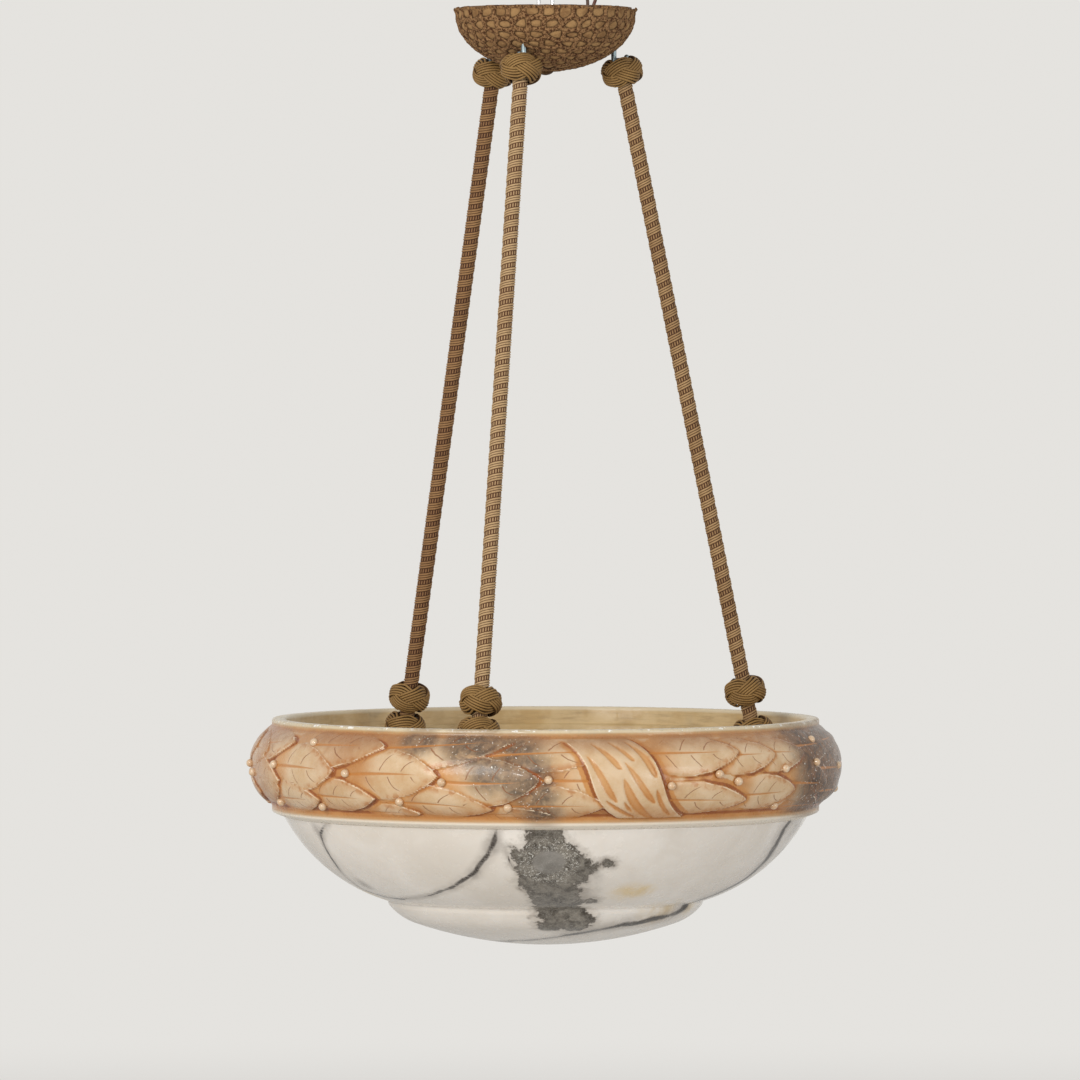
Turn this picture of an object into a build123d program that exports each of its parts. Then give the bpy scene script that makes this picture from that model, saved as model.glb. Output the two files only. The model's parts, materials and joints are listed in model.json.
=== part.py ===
"""Alabaster bowl pendant: a carved stone bowl on three knotted ropes under a crochet-covered canopy.

Lengths are millimetres and angles are degrees. +Z is up, +X is to the right of the viewer and +Y is away.
The origin is the centre of the hanging eye's bore, where the ceiling hook goes.
"""

from build123d import *
import os
from math import atan2, cos, degrees, radians, sin, sqrt, tan

# Clearances
BEARING_GAP = 0.35  # between curved faces that hang on each other
FIT_GAP = 0.1  # round a shank, stud or rope in its hole
SKIN_GAP = 0.2  # between nested curved skins

# Hanging eye: a flat steel eye with a bore for the ceiling hook and a small hole for the chain link
EYE_BORE_R = 6.0
EYE_WALL = 4.0
EYE_PLATE_T = 2.5
EYE_HOLE_PITCH = 14.0
EYE_LINK_HOLE_R = 3.2
EYE_LINK_WALL = 3.3

# Chain link
LINK_WIRE_R = 1.4
LINK_BEND_R = 5.2
LINK_LEG = 9.0

# Eye bolt that carries the canopy and the three-armed plate
BOLT_WIRE_R = 1.6
BOLT_RING_R = 5.0
BOLT_SHANK_R = 3.0
BOLT_COLLAR_R = 6.0
BOLT_COLLAR_H = 2.0
NUT_FLATS = 10.0
NUT_H = 4.5

# Three-armed suspension plate
PLATE_T = 3.0
PLATE_HUB_R = 32.0
ARM_W = 9.6

# Canopy: an open cup, round below and straight at the rim
CANOPY_R = 68.0
CANOPY_STRAIGHT = 5.0
CANOPY_ROUND = 43.0
CANOPY_ABOVE_PLATE = 14.6
COVER_T = 2.5
CUP_T = 1.2
CUP_BEAD_R = 1.4
CANOPY_NUT_R = 6.5
CANOPY_NUT_H = 3.0

# Porcelain terminal block and its screws
BLOCK_X = 10.0
BLOCK_FROM_HUB_EDGE = 11.5
BLOCK_L = 16.0
BLOCK_W = 20.0
BLOCK_H = 12.0
BLOCK_EDGE = 1.5
WAY_SPACING = 9.0
SCREW_R = 1.9
SCREW_H = 5.0
SCREW_SINK = 1.0

# Supply wires: the points of each route from the block up past the rim, chosen by hand
WIRE_D = 2.6
BROWN_ROUTE = [
    (18, 16, -38.5),
    (26, 16, -38.5),
    (34, 14.5, -32.5),
    (38.5, 13.5, -22.5),
    (39.5, 14, -11),
    (37.5, 15.5, 0.5),
]
DARK_ROUTE = [
    (18, 25, -38.5),
    (24.5, 25, -38.5),
    (30.3, 25.3, -34.2),
    (32.5, 24.6, -26.2),
    (31, 23.2, -17),
    (29.5, 21.6, -7),
]

# Ropes: their sides, azimuths from +X towards +Y, and the height of each knot's middle over the bowl's rim
ROPE_SIDES = ["right", "left", "middle"]
ROPE_AZIMUTHS = [12.0, 132.0, 252.0]
RIM_KNOT_HEIGHTS = [22.0, 14.0, 22.0]
LOWER_KNOT_HEIGHTS = [-12.0, -12.0, -4.0]
ROPE_D = 11.0
ROPE_TOP_INSET = 9.0  # from the canopy's edge in to the pivot
ROPE_FOOT_INSET = 27.0  # from the bowl's inner wall in to the foot
ROPE_PIVOT_DEPTH = 46.0  # below the canopy's rim
ROPE_FOOT_DEPTH = 27.0  # below the bowl's rim
KNOT_D = 32.0
KNOT_H = 25.0
TOP_KNOT_DROP = 2.0
TOP_KNOT_HOLLOW_R = 10.5

# Rope ironwork: an eye on each rope's top end, hooks on the canopy, a hook on each rope's foot
ROPE_EYE_WIRE_R = 1.6
ROPE_EYE_R = 5.2
ROPE_CAP_T = 2.0
TOP_HOOK_WIRE_R = 2.0
TOP_HOOK_BEND_R = 5.0
TOP_HOOK_TIP = 3.0
HOOK_NUT_FLATS = 7.0
HOOK_NUT_H = 3.2
HOOK_END = 2.0
FOOT_HOOK_WIRE_R = 2.0
FOOT_HOOK_BEND_R = 5.5
FOOT_HOOK_NECK = 4.0
FOOT_HOOK_SHOULDER = 5.0
FOOT_HOOK_L = 18.0
FOOT_HOOK_TIP = 4.0

# Bowl, from the rim down
BOWL_BELOW_CANOPY = 538.0  # rim to rim
BOWL_R = 225.0
BAND_BULGE = 17.5
RIM_W = 10.0
RIM_LIP_H = 5.0
BAND_H = 60.6
LOWER_LIP_H = 5.4
LIP_UNDERCUT_W = 9.0
LIP_UNDERCUT_H = 3.0
BODY_H = 64.0
BODY_BULGE = 10.2
STEP_R = 120.0
STEP_H = 4.5
STEP_TAPER = 2.0
BASE_EDGE_W = 19.3
BASE_EDGE_H = 12.7
BASE_EDGE_BULGE = 1.6
BASE_DOME_H = 16.4
LEDGE_DEPTH = 13.3
LEDGE_W = 5.5
WALL_H = 47.0  # straight inner wall under the ledge
INNER_BULGE = 12.0
INNER_BODY_H = 71.0
INNER_FLOOR_R = 112.0
FLOOR_T = 15.0

# Lug eyes: brass screw eyes in blind holes of the thick band
LUG_WIRE_R = 2.2
LUG_RING_R = 6.0
LUG_SHANK_R = 3.0
LUG_FLANGE_R = 8.0
LUG_FLANGE_T = 2.5
LUG_STUD_L = 20.0

# Lamp spider, hub and nipple
SPIDER_T = 2.5
SPIDER_ARM_W = 12.0
SPIDER_DROP = 10.0  # from the lug's stud down to the arms
TAB_RISE = 8.0  # of the arm's tab above the stud
HUB_R = 22.0
HUB_H = 35.0
HUB_WALL = 2.5
NIPPLE_R = 5.0
NIPPLE_BORE_R = 3.2
NIPPLE_L = 16.0

# Lampholders and bulbs, between the ropes
HOLDER_AZIMUTHS = [72.0, 192.0, 312.0]
HOLDER_R = 19.0
HOLDER_L = 46.0
HOLDER_OFFSET = 4.0
HOLDER_EDGE = 4.0
SOCKET_R = 13.6
SOCKET_DEPTH = 28.0
TONGUE_T = 1.2
TONGUE_R = 6.0
CAP_R = 13.2
CAP_L = 26.0
CAP_TIP_R = 4.5
CAP_TIP_L = 2.0
THREAD_TURNS = 5
THREAD_PITCH = 3.6
THREAD_DEPTH = 0.8
GLASS_R = 30.0
GLASS_T = 0.8
GLASS_NECK_R = 13.2
GLASS_NECK_L = 4.0
GLASS_CENTRE = 50.0
GLASS_SHOULDER_ANGLE = 50.0

# Levels that follow from the sizes above, each a height on the Z axis
LINK_HOLE_FLOOR = -(EYE_HOLE_PITCH + EYE_LINK_HOLE_R)
LINK_TOP = LINK_HOLE_FLOOR - (LINK_BEND_R - LINK_WIRE_R) + BEARING_GAP
LINK_BOTTOM = LINK_TOP - LINK_LEG
BOLT_RING_Z = LINK_BOTTOM - LINK_BEND_R - (BOLT_RING_R - BOLT_WIRE_R - LINK_WIRE_R - BEARING_GAP)
COLLAR_TOP = BOLT_RING_Z - BOLT_RING_R - BOLT_WIRE_R / 2
PLATE_TOP = COLLAR_TOP - BOLT_COLLAR_H
CANOPY_RIM = PLATE_TOP + CANOPY_ABOVE_PLATE
CANOPY_FLOOR = CANOPY_RIM - CANOPY_STRAIGHT - CANOPY_ROUND
BOWL_RIM = CANOPY_RIM - BOWL_BELOW_CANOPY

# Bowl radii
LIP_R = BOWL_R - BAND_BULGE
RIM_INNER_R = LIP_R - RIM_W
WALL_R = RIM_INNER_R - LEDGE_W

# Rope line, from the top pivot to the foot, in the upright plane through the axis
ROPE_TOP_R = CANOPY_R - ROPE_TOP_INSET
ROPE_FOOT_R = WALL_R - ROPE_FOOT_INSET
PIVOT_Z = CANOPY_RIM - ROPE_PIVOT_DEPTH
FOOT_Z = BOWL_RIM - ROPE_FOOT_DEPTH
LEAN = atan2(ROPE_FOOT_R - ROPE_TOP_R, PIVOT_Z - FOOT_Z)
ROPE_REACH = (PIVOT_Z - FOOT_Z) / cos(LEAN)
HOOK_MIDDLE_R = ROPE_TOP_R - ROPE_EYE_R * sin(LEAN)
HOOK_SHANK_R = HOOK_MIDDLE_R - TOP_HOOK_BEND_R

# Lug line: the foot hook's lowest wire hangs in the lug's ring
HOOK_BED_R = ROPE_FOOT_R + FOOT_HOOK_L * sin(LEAN)
HOOK_BED_Z = FOOT_Z - FOOT_HOOK_L * cos(LEAN)
LUG_R = HOOK_BED_R
LUG_Z = HOOK_BED_Z - (LUG_RING_R - LUG_WIRE_R - FOOT_HOOK_WIRE_R - BEARING_GAP)

# Terminal block
BLOCK_Y = PLATE_HUB_R - BLOCK_FROM_HUB_EDGE

# Lamp levels
SPIDER_TOP = LUG_Z - SPIDER_DROP
HUB_TOP = SPIDER_TOP - SPIDER_T
LAMP_Z = HUB_TOP - HUB_H / 2
HOLDER_START = HUB_R + HOLDER_OFFSET
SOCKET_FLOOR = HOLDER_START + HOLDER_L - SOCKET_DEPTH
GLASS_START = SOCKET_FLOOR + TONGUE_T + BEARING_GAP + CAP_TIP_L + CAP_L

# Faces that the lugs, the ropes and the spider share
ROPE_START = ROPE_EYE_R + ROPE_EYE_WIRE_R / 2 + ROPE_CAP_T
WALL_CURVE = WALL_R - sqrt(WALL_R**2 - (SPIDER_ARM_W / 2) ** 2)
TAB_FACE = WALL_R - WALL_CURVE - FIT_GAP


def save(name, *shapes):
    """Write one node, made of one or more separate solids."""
    solids = [solid for shape in shapes for solid in shape.solids()]
    node = solids[0] if len(solids) == 1 else Compound(children=solids)
    export_step(node, f"parts/{name}.step")


def outward(azimuth):
    """Level direction away from the axis at an azimuth."""
    return Vector(cos(radians(azimuth)), sin(radians(azimuth)), 0)


def upright_at(azimuth, radius, z):
    """Frame at a radius and height, with X outward and Z up."""
    origin = outward(azimuth) * radius + Vector(0, 0, z)
    return Location(Plane(origin=origin, x_dir=outward(azimuth), z_dir=(0, 0, 1)))


def radial_at(azimuth, radius, z):
    """Frame at a radius and height, with Z outward and X up."""
    origin = outward(azimuth) * radius + Vector(0, 0, z)
    return Location(Plane(origin=origin, x_dir=(0, 0, 1), z_dir=outward(azimuth)))


def along_rope(azimuth, distance=0.0):
    """Frame on a rope's line, a distance below its pivot, with Z up the rope and Y along the rim."""
    out = outward(azimuth)
    level = Vector(0, 0, 1)
    up_rope = level * cos(LEAN) - out * sin(LEAN)
    across = out * cos(LEAN) + level * sin(LEAN)
    origin = out * ROPE_TOP_R + level * PIVOT_Z - up_rope * distance
    return Location(Plane(origin=origin, x_dir=across, z_dir=up_rope))


def rod(radius, low, high):
    """Round bar about the Z axis between two heights."""
    return Pos(0, 0, low) * Cylinder(radius, high - low, align=(Align.CENTER, Align.CENTER, Align.MIN))


def hex_nut(flats, low, height, bore_r):
    """Hexagon nut about the Z axis, standing on a height, with both faces turned to a cone at the corners."""
    blank = extrude(RegularPolygon(flats / 2, 6, major_radius=False), height)
    corner = flats / sqrt(3) - flats / 2
    turned = chamfer(Cylinder(flats / sqrt(3), height, align=(Align.CENTER, Align.CENTER, Align.MIN)).edges()
                     .filter_by(GeomType.CIRCLE), corner / 2)
    return Pos(0, 0, low) * ((blank & turned) - rod(bore_r, -1, height + 1))


def upright_ring(ring_r, wire_r):
    """Ring of round wire in the XZ plane."""
    return Rot(90, 0, 0) * Torus(ring_r, wire_r)


def bent_wire(points, radii, wire_r):
    """Round wire along straight runs with a bend of the given radius at each corner."""
    path = FilletPolyline(*points, radius=radii)
    section = Plane(origin=path @ 0, z_dir=path % 0) * Circle(wire_r)
    return sweep(section, path=path)


def bulged(start, end, bulge):
    """Arc from one point of a half section to another, standing out to the right of the way by bulge."""
    chord = Vector(*end) - Vector(*start)
    side = Vector(chord.Y, -chord.X).normalized()
    middle = (Vector(*start) + Vector(*end)) * 0.5 + side * bulge
    return ThreePointArc(start, middle, end)


def dome_arc(edge_r, edge_z, pole_z):
    """Arc of a round floor from its edge to the axis, level at the axis."""
    drop = edge_z - pole_z
    sphere_r = (edge_r**2 + drop**2) / (2 * drop)
    middle_r = edge_r / 2
    middle_z = pole_z + sphere_r - sqrt(sphere_r**2 - middle_r**2)
    return ThreePointArc((edge_r, edge_z), (middle_r, middle_z), (0, pole_z))


def turned(face):
    """Solid turned about the Z axis from a half section, drawn as radius and height."""
    return revolve(Plane.XZ * face, Axis.Z)


def hanging_eye():
    """Flat eye plate, its hole axes along X."""
    upper = Circle(EYE_BORE_R + EYE_WALL)
    lower = Pos(0, -EYE_HOLE_PITCH) * Circle(EYE_LINK_HOLE_R + EYE_LINK_WALL)
    blank = make_hull(upper.edges() + lower.edges())
    holes = Circle(EYE_BORE_R) + Pos(0, -EYE_HOLE_PITCH) * Circle(EYE_LINK_HOLE_R)
    return extrude(Plane.YZ * (blank - holes), EYE_PLATE_T / 2, both=True)


def chain_link():
    """Long link of round wire, in the XZ plane."""
    slot = Rot(0, 0, 90) * SlotCenterToCenter(LINK_LEG, 2 * LINK_BEND_R)
    middle = Pos(0, 0, (LINK_TOP + LINK_BOTTOM) / 2)
    path = (middle * (Plane.XZ * slot)).face().outer_wire()
    section = Plane(origin=path @ 0, z_dir=path % 0) * Circle(LINK_WIRE_R)
    return sweep(section, path=path)


def eye_bolt():
    """Ring on a collar, with a shank down through the plate to the canopy's floor."""
    ring = Pos(0, 0, BOLT_RING_Z) * Rot(0, 0, 90) * upright_ring(BOLT_RING_R, BOLT_WIRE_R)
    collar = rod(BOLT_COLLAR_R, PLATE_TOP, COLLAR_TOP)
    collar = fillet(collar.edges().group_by(Axis.Z)[-1], BOLT_COLLAR_H / 3)
    shank = rod(BOLT_SHANK_R, CANOPY_FLOOR - CANOPY_NUT_H / 2, PLATE_TOP)
    return ring + collar + shank


def suspension_plate():
    """Hub with three arms, a hole for each hook's shank and one for the eye bolt."""
    outline = Circle(PLATE_HUB_R)
    holes = Circle(BOLT_SHANK_R + FIT_GAP)
    for azimuth in ROPE_AZIMUTHS:
        arm = Rectangle(HOOK_SHANK_R, ARM_W, align=(Align.MIN, Align.CENTER))
        end = Pos(HOOK_SHANK_R, 0) * Circle(ARM_W / 2)
        outline += Rot(0, 0, azimuth) * (arm + end)
        holes += Rot(0, 0, azimuth) * Pos(HOOK_SHANK_R, 0) * Circle(TOP_HOOK_WIRE_R + FIT_GAP)
    return Pos(0, 0, PLATE_TOP - PLATE_T) * extrude(outline - holes, PLATE_T)


def canopy_section(inset):
    """Half section of the canopy's whole shape, drawn in from its outer face by inset."""
    radius = CANOPY_R - inset
    depth = CANOPY_ROUND - inset
    round_top = (radius, CANOPY_RIM - CANOPY_STRAIGHT)
    pole = (0, round_top[1] - depth)
    edges = [
        Line((0, CANOPY_RIM), (radius, CANOPY_RIM)),
        Line((radius, CANOPY_RIM), round_top),
        EllipticalCenterArc((0, round_top[1]), radius, depth, start_angle=-90, arc_size=90),
        Line(pole, (0, CANOPY_RIM)),
    ]
    return make_face(edges)


def canopy_skin(inset, thickness):
    """Open cup of one thickness with a hole for the eye bolt and one for each hook."""
    skin = turned(canopy_section(inset) - canopy_section(inset + thickness))
    skin -= rod(BOLT_SHANK_R + FIT_GAP, CANOPY_FLOOR - 1, CANOPY_RIM)
    for azimuth in ROPE_AZIMUTHS:
        hole = rod(TOP_HOOK_WIRE_R + 2 * BEARING_GAP, CANOPY_FLOOR, CANOPY_RIM - CANOPY_STRAIGHT)
        skin -= upright_at(azimuth, HOOK_SHANK_R, 0) * hole
    return skin


def canopy_cup():
    """Spun metal cup with a rolled bead inside its rim."""
    skin = canopy_skin(COVER_T + SKIN_GAP, CUP_T)
    bead = Pos(0, 0, CANOPY_RIM - CUP_BEAD_R) * Torus(CANOPY_R - COVER_T - SKIN_GAP - CUP_BEAD_R, CUP_BEAD_R)
    return skin + bead


def canopy_nut():
    """Low domed nut under the canopy, over the end of the bolt's shank."""
    section = make_face([
        Line((0, CANOPY_FLOOR), (CANOPY_NUT_R, CANOPY_FLOOR)),
        dome_arc(CANOPY_NUT_R, CANOPY_FLOOR, CANOPY_FLOOR - CANOPY_NUT_H),
        Line((0, CANOPY_FLOOR - CANOPY_NUT_H), (0, CANOPY_FLOOR)),
    ])
    bore = rod(BOLT_SHANK_R + FIT_GAP, CANOPY_FLOOR - CANOPY_NUT_H / 2, CANOPY_FLOOR + 1)
    return turned(section) - bore


def terminal_block():
    """Two-way block with a sunk hole over each clamp screw and one for the screw that holds it down."""
    base = Pos(BLOCK_X, BLOCK_Y, PLATE_TOP + BLOCK_H / 2) * Box(BLOCK_L, BLOCK_W, BLOCK_H)
    block = fillet(base.edges().filter_by(Axis.Z) + base.faces().sort_by(Axis.Z)[-1].edges(), BLOCK_EDGE)
    for place in screw_places():
        block -= Pos(*place) * rod(SCREW_R + FIT_GAP, PLATE_TOP + BLOCK_H - SCREW_H - SCREW_SINK,
                                   PLATE_TOP + BLOCK_H + 1)
    return block


def screw_places():
    """Middle of each screw on the block's top, as seen from above."""
    places = [(BLOCK_X, BLOCK_Y)]
    for side in (-1, 1):
        for way in (-1, 1):
            places.append((BLOCK_X + side * BLOCK_L / 4, BLOCK_Y + way * WAY_SPACING / 2))
    return places


def slotted_screw(place):
    """Round screw with a driver slot across its top."""
    top = PLATE_TOP + BLOCK_H - SCREW_SINK
    body = rod(SCREW_R, top - SCREW_H, top)
    slot = Pos(0, 0, top) * Box(3 * SCREW_R, SCREW_R / 3, SCREW_R)
    return Pos(*place) * (body - slot)


def supply_wire(route):
    """Insulated wire along its route, each bend as large as its two runs allow."""
    points = [Vector(*point) for point in route]
    radii = []
    for before, corner, after in zip(points, points[1:], points[2:]):
        turn = (corner - before).get_angle(after - corner)
        shorter = min((corner - before).length, (after - corner).length)
        radii.append(0.45 * shorter / tan(radians(turn / 2)))
    wire = bent_wire(points, radii, WIRE_D / 2)
    path = FilletPolyline(*points, radius=radii)
    expected = Circle(WIRE_D / 2).area * path.length
    print("wire bends", [round(r, 1) for r in radii], "length", round(path.length, 1),
          "volume ratio", round(wire.volume / expected, 4))
    return wire


def top_hook():
    """Hook whose shank hangs from the plate, drawn level with the rope's pivot with X outward."""
    wire_z = ROPE_EYE_R * cos(LEAN) - ROPE_EYE_WIRE_R - TOP_HOOK_WIRE_R - BEARING_GAP
    shank_top = PLATE_TOP + HOOK_NUT_H + HOOK_END - PIVOT_Z
    bend = TOP_HOOK_BEND_R
    points = [
        (-bend, 0, shank_top),
        (-bend, 0, wire_z),
        (bend, 0, wire_z),
        (bend, 0, wire_z + bend + TOP_HOOK_TIP),
    ]
    tip = Pos(bend, 0, wire_z + bend + TOP_HOOK_TIP) * Sphere(TOP_HOOK_WIRE_R)
    return bent_wire(points, [bend * 0.98] * 2, TOP_HOOK_WIRE_R) + tip


def rope_eye():
    """Ring on a cap that closes the rope's top end, with the pivot at the ring's centre."""
    ring = Rot(0, 0, 90) * upright_ring(ROPE_EYE_R, ROPE_EYE_WIRE_R)
    cap_top = -(ROPE_EYE_R + ROPE_EYE_WIRE_R / 2)
    return ring + rod(ROPE_D / 2, cap_top - ROPE_CAP_T, cap_top)


def knot():
    """Plain bead with the bulk of a woven ball knot, flat at both ends."""
    ball = Sphere(KNOT_D / 2) & rod(KNOT_D, -KNOT_H / 2, KNOT_H / 2)
    return ball - rod(ROPE_D / 2 + FIT_GAP, -KNOT_H, KNOT_H)


def top_knot():
    """Knot at a rope's top, hollow above the rope's end for the hook and the eye."""
    return Pos(0, 0, -TOP_KNOT_DROP) * knot() - rod(TOP_KNOT_HOLLOW_R, -ROPE_START, KNOT_H)


def foot_hook():
    """Hook on a cap under the rope's foot, cranked so that its bed lies on the rope's line."""
    bend = FOOT_HOOK_BEND_R
    cap = rod(ROPE_D / 2, -ROPE_CAP_T, 0)
    points = [
        (0, 0, -ROPE_CAP_T / 2),
        (0, 0, -FOOT_HOOK_NECK),
        (0, -bend, -FOOT_HOOK_NECK - FOOT_HOOK_SHOULDER),
        (0, -bend, -FOOT_HOOK_L),
        (0, bend, -FOOT_HOOK_L),
        (0, bend, -FOOT_HOOK_L + bend + FOOT_HOOK_TIP),
    ]
    crank = FOOT_HOOK_WIRE_R * 1.2
    wire = bent_wire(points, [crank * 0.8, crank, bend * 0.7, bend * 0.98], FOOT_HOOK_WIRE_R)
    tip = Pos(0, bend, -FOOT_HOOK_L + bend + FOOT_HOOK_TIP) * Sphere(FOOT_HOOK_WIRE_R)
    return cap + wire + tip


def rope_below_pivot(height):
    """Distance down the rope's line from its pivot to a height over the bowl's rim."""
    return (PIVOT_Z - BOWL_RIM - height) / cos(LEAN)


def bowl_section():
    """Half section of the bowl: rim, thick band, lower lip, body, step and domed base."""
    band_top = BOWL_RIM - RIM_LIP_H
    band_bottom = band_top - BAND_H
    lip_bottom = band_bottom - LOWER_LIP_H
    body_top = (LIP_R - LIP_UNDERCUT_W, lip_bottom - LIP_UNDERCUT_H)
    body_bottom = (STEP_R, body_top[1] - BODY_H)
    step_bottom = (STEP_R - STEP_TAPER, body_bottom[1] - STEP_H)
    dome_edge = (step_bottom[0] - BASE_EDGE_W, step_bottom[1] - BASE_EDGE_H)
    pole_z = dome_edge[1] - BASE_DOME_H
    ledge_z = BOWL_RIM - LEDGE_DEPTH
    wall_bottom = (WALL_R, ledge_z - WALL_H)
    floor_edge = (INNER_FLOOR_R, wall_bottom[1] - INNER_BODY_H)
    return make_face([
        Line((RIM_INNER_R, BOWL_RIM), (LIP_R, BOWL_RIM)),
        Line((LIP_R, BOWL_RIM), (LIP_R, band_top)),
        ThreePointArc((LIP_R, band_top), (BOWL_R, band_top - BAND_H / 2), (LIP_R, band_bottom)),
        Line((LIP_R, band_bottom), (LIP_R, lip_bottom)),
        Line((LIP_R, lip_bottom), body_top),
        bulged(body_bottom, body_top, BODY_BULGE),
        Line(body_bottom, step_bottom),
        bulged(dome_edge, step_bottom, BASE_EDGE_BULGE),
        dome_arc(dome_edge[0], dome_edge[1], pole_z),
        Line((0, pole_z), (0, pole_z + FLOOR_T)),
        dome_arc(floor_edge[0], floor_edge[1], pole_z + FLOOR_T),
        bulged(floor_edge, wall_bottom, INNER_BULGE),
        Line(wall_bottom, (WALL_R, ledge_z)),
        Line((WALL_R, ledge_z), (RIM_INNER_R, ledge_z)),
        Line((RIM_INNER_R, ledge_z), (RIM_INNER_R, BOWL_RIM)),
    ])


def alabaster_bowl():
    """Turned bowl with a blind hole in the thick band for each lug's stud."""
    bowl = turned(bowl_section())
    for azimuth in ROPE_AZIMUTHS:
        bowl -= radial_at(azimuth, WALL_R, LUG_Z) * rod(LUG_SHANK_R + FIT_GAP, -1, LUG_STUD_L + FIT_GAP)
    return bowl


def lug_eye():
    """Screw eye drawn along its stud: ring, shank, flange and stud, with Z outward and X up."""
    flange_face = TAB_FACE - SPIDER_T - LUG_R
    ring = upright_ring(LUG_RING_R, LUG_WIRE_R)
    shank = rod(LUG_SHANK_R, LUG_RING_R, WALL_R + LUG_STUD_L - LUG_R)
    return ring + shank + rod(LUG_FLANGE_R, flange_face - LUG_FLANGE_T, flange_face)


def lamp_spider():
    """Three strips from a middle disc out to the wall, each turned up into a tab that its lug clamps."""
    disc = extrude(Circle(HUB_R), SPIDER_T)
    strip = Box(TAB_FACE, SPIDER_ARM_W, SPIDER_T, align=(Align.MIN, Align.CENTER, Align.MIN))
    rise = SPIDER_T + SPIDER_DROP + TAB_RISE
    tab = Pos(TAB_FACE, 0, 0) * Box(SPIDER_T, SPIDER_ARM_W, rise, align=(Align.MAX, Align.CENTER, Align.MIN))
    arm = strip + tab
    arm = fillet(arm.edges().filter_by(Axis.X).group_by(Axis.Z)[-1], SPIDER_ARM_W / 3)
    hole = Pos(0, 0, SPIDER_T + SPIDER_DROP) * Rot(0, 90, 0) * rod(LUG_SHANK_R + FIT_GAP, 0, BOWL_R)
    spider = disc
    for azimuth in ROPE_AZIMUTHS:
        spider += Rot(0, 0, azimuth) * (arm - hole)
    return Pos(0, 0, SPIDER_TOP - SPIDER_T) * spider - rod(NIPPLE_R + FIT_GAP, HUB_TOP - 1, SPIDER_TOP + 1)


def lamp_hub():
    """Hollow drum with a round bottom edge, a hole on top and one for each lampholder."""
    drum = fillet(Cylinder(HUB_R, HUB_H).edges().group_by(Axis.Z)[0], HUB_R / 3)
    inside_r = HUB_R - HUB_WALL
    hollow = fillet(Cylinder(inside_r, HUB_H - 2 * HUB_WALL).edges().group_by(Axis.Z)[0], inside_r / 3)
    hub = Pos(0, 0, LAMP_Z) * (drum - hollow)
    hub -= rod(NIPPLE_R + FIT_GAP, LAMP_Z, HUB_TOP + 1)
    for azimuth in HOLDER_AZIMUTHS:
        hub -= radial_at(azimuth, 0, LAMP_Z) * rod(NIPPLE_R + FIT_GAP, 0, HUB_R + 1)
    return hub


def hollow_nipple(low, high):
    """Threaded tube that a flex passes through."""
    return rod(NIPPLE_R, low, high) - rod(NIPPLE_BORE_R, low - 1, high + 1)


def lampholder():
    """Porcelain cup with a round base edge, drawn along its axis from its base."""
    body = Cylinder(HOLDER_R, HOLDER_L, align=(Align.CENTER, Align.CENTER, Align.MIN))
    body = fillet(body.edges().group_by(Axis.Z)[0], HOLDER_EDGE)
    body = fillet(body.edges().group_by(Axis.Z)[-1], HOLDER_EDGE / 4)
    body -= rod(SOCKET_R, HOLDER_L - SOCKET_DEPTH, HOLDER_L + 1)
    return body - rod(NIPPLE_R + FIT_GAP, -1, NIPPLE_L / 2)


def bulb_cap():
    """Screw cap with rolled thread ridges, drawn with its open end at zero and its tip below."""
    root_r = CAP_R - THREAD_DEPTH
    cap = rod(root_r, -CAP_L, 0) + rod(CAP_R, -THREAD_PITCH, 0)
    for turn in range(THREAD_TURNS):
        height = -THREAD_PITCH * (turn + 1.8)
        cap += Pos(0, 0, height) * Torus(CAP_R - THREAD_PITCH / 4, THREAD_PITCH / 4)
    return cap + rod(CAP_TIP_R, -CAP_L - CAP_TIP_L, -CAP_L)


def glass_section(inset):
    """Half section of the bulb's whole shape, drawn in from its outer face by inset."""
    ball_r = GLASS_R - inset
    neck_r = GLASS_NECK_R - inset
    angle = radians(GLASS_SHOULDER_ANGLE)
    shoulder = (ball_r * sin(angle), GLASS_CENTRE - ball_r * cos(angle))
    top = (0, GLASS_CENTRE + ball_r)
    return make_face([
        Line((0, 0), (neck_r, 0)),
        Line((neck_r, 0), (neck_r, GLASS_NECK_L)),
        Line((neck_r, GLASS_NECK_L), shoulder),
        ThreePointArc(shoulder, (ball_r, GLASS_CENTRE), top),
        Line(top, (0, 0)),
    ])


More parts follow.
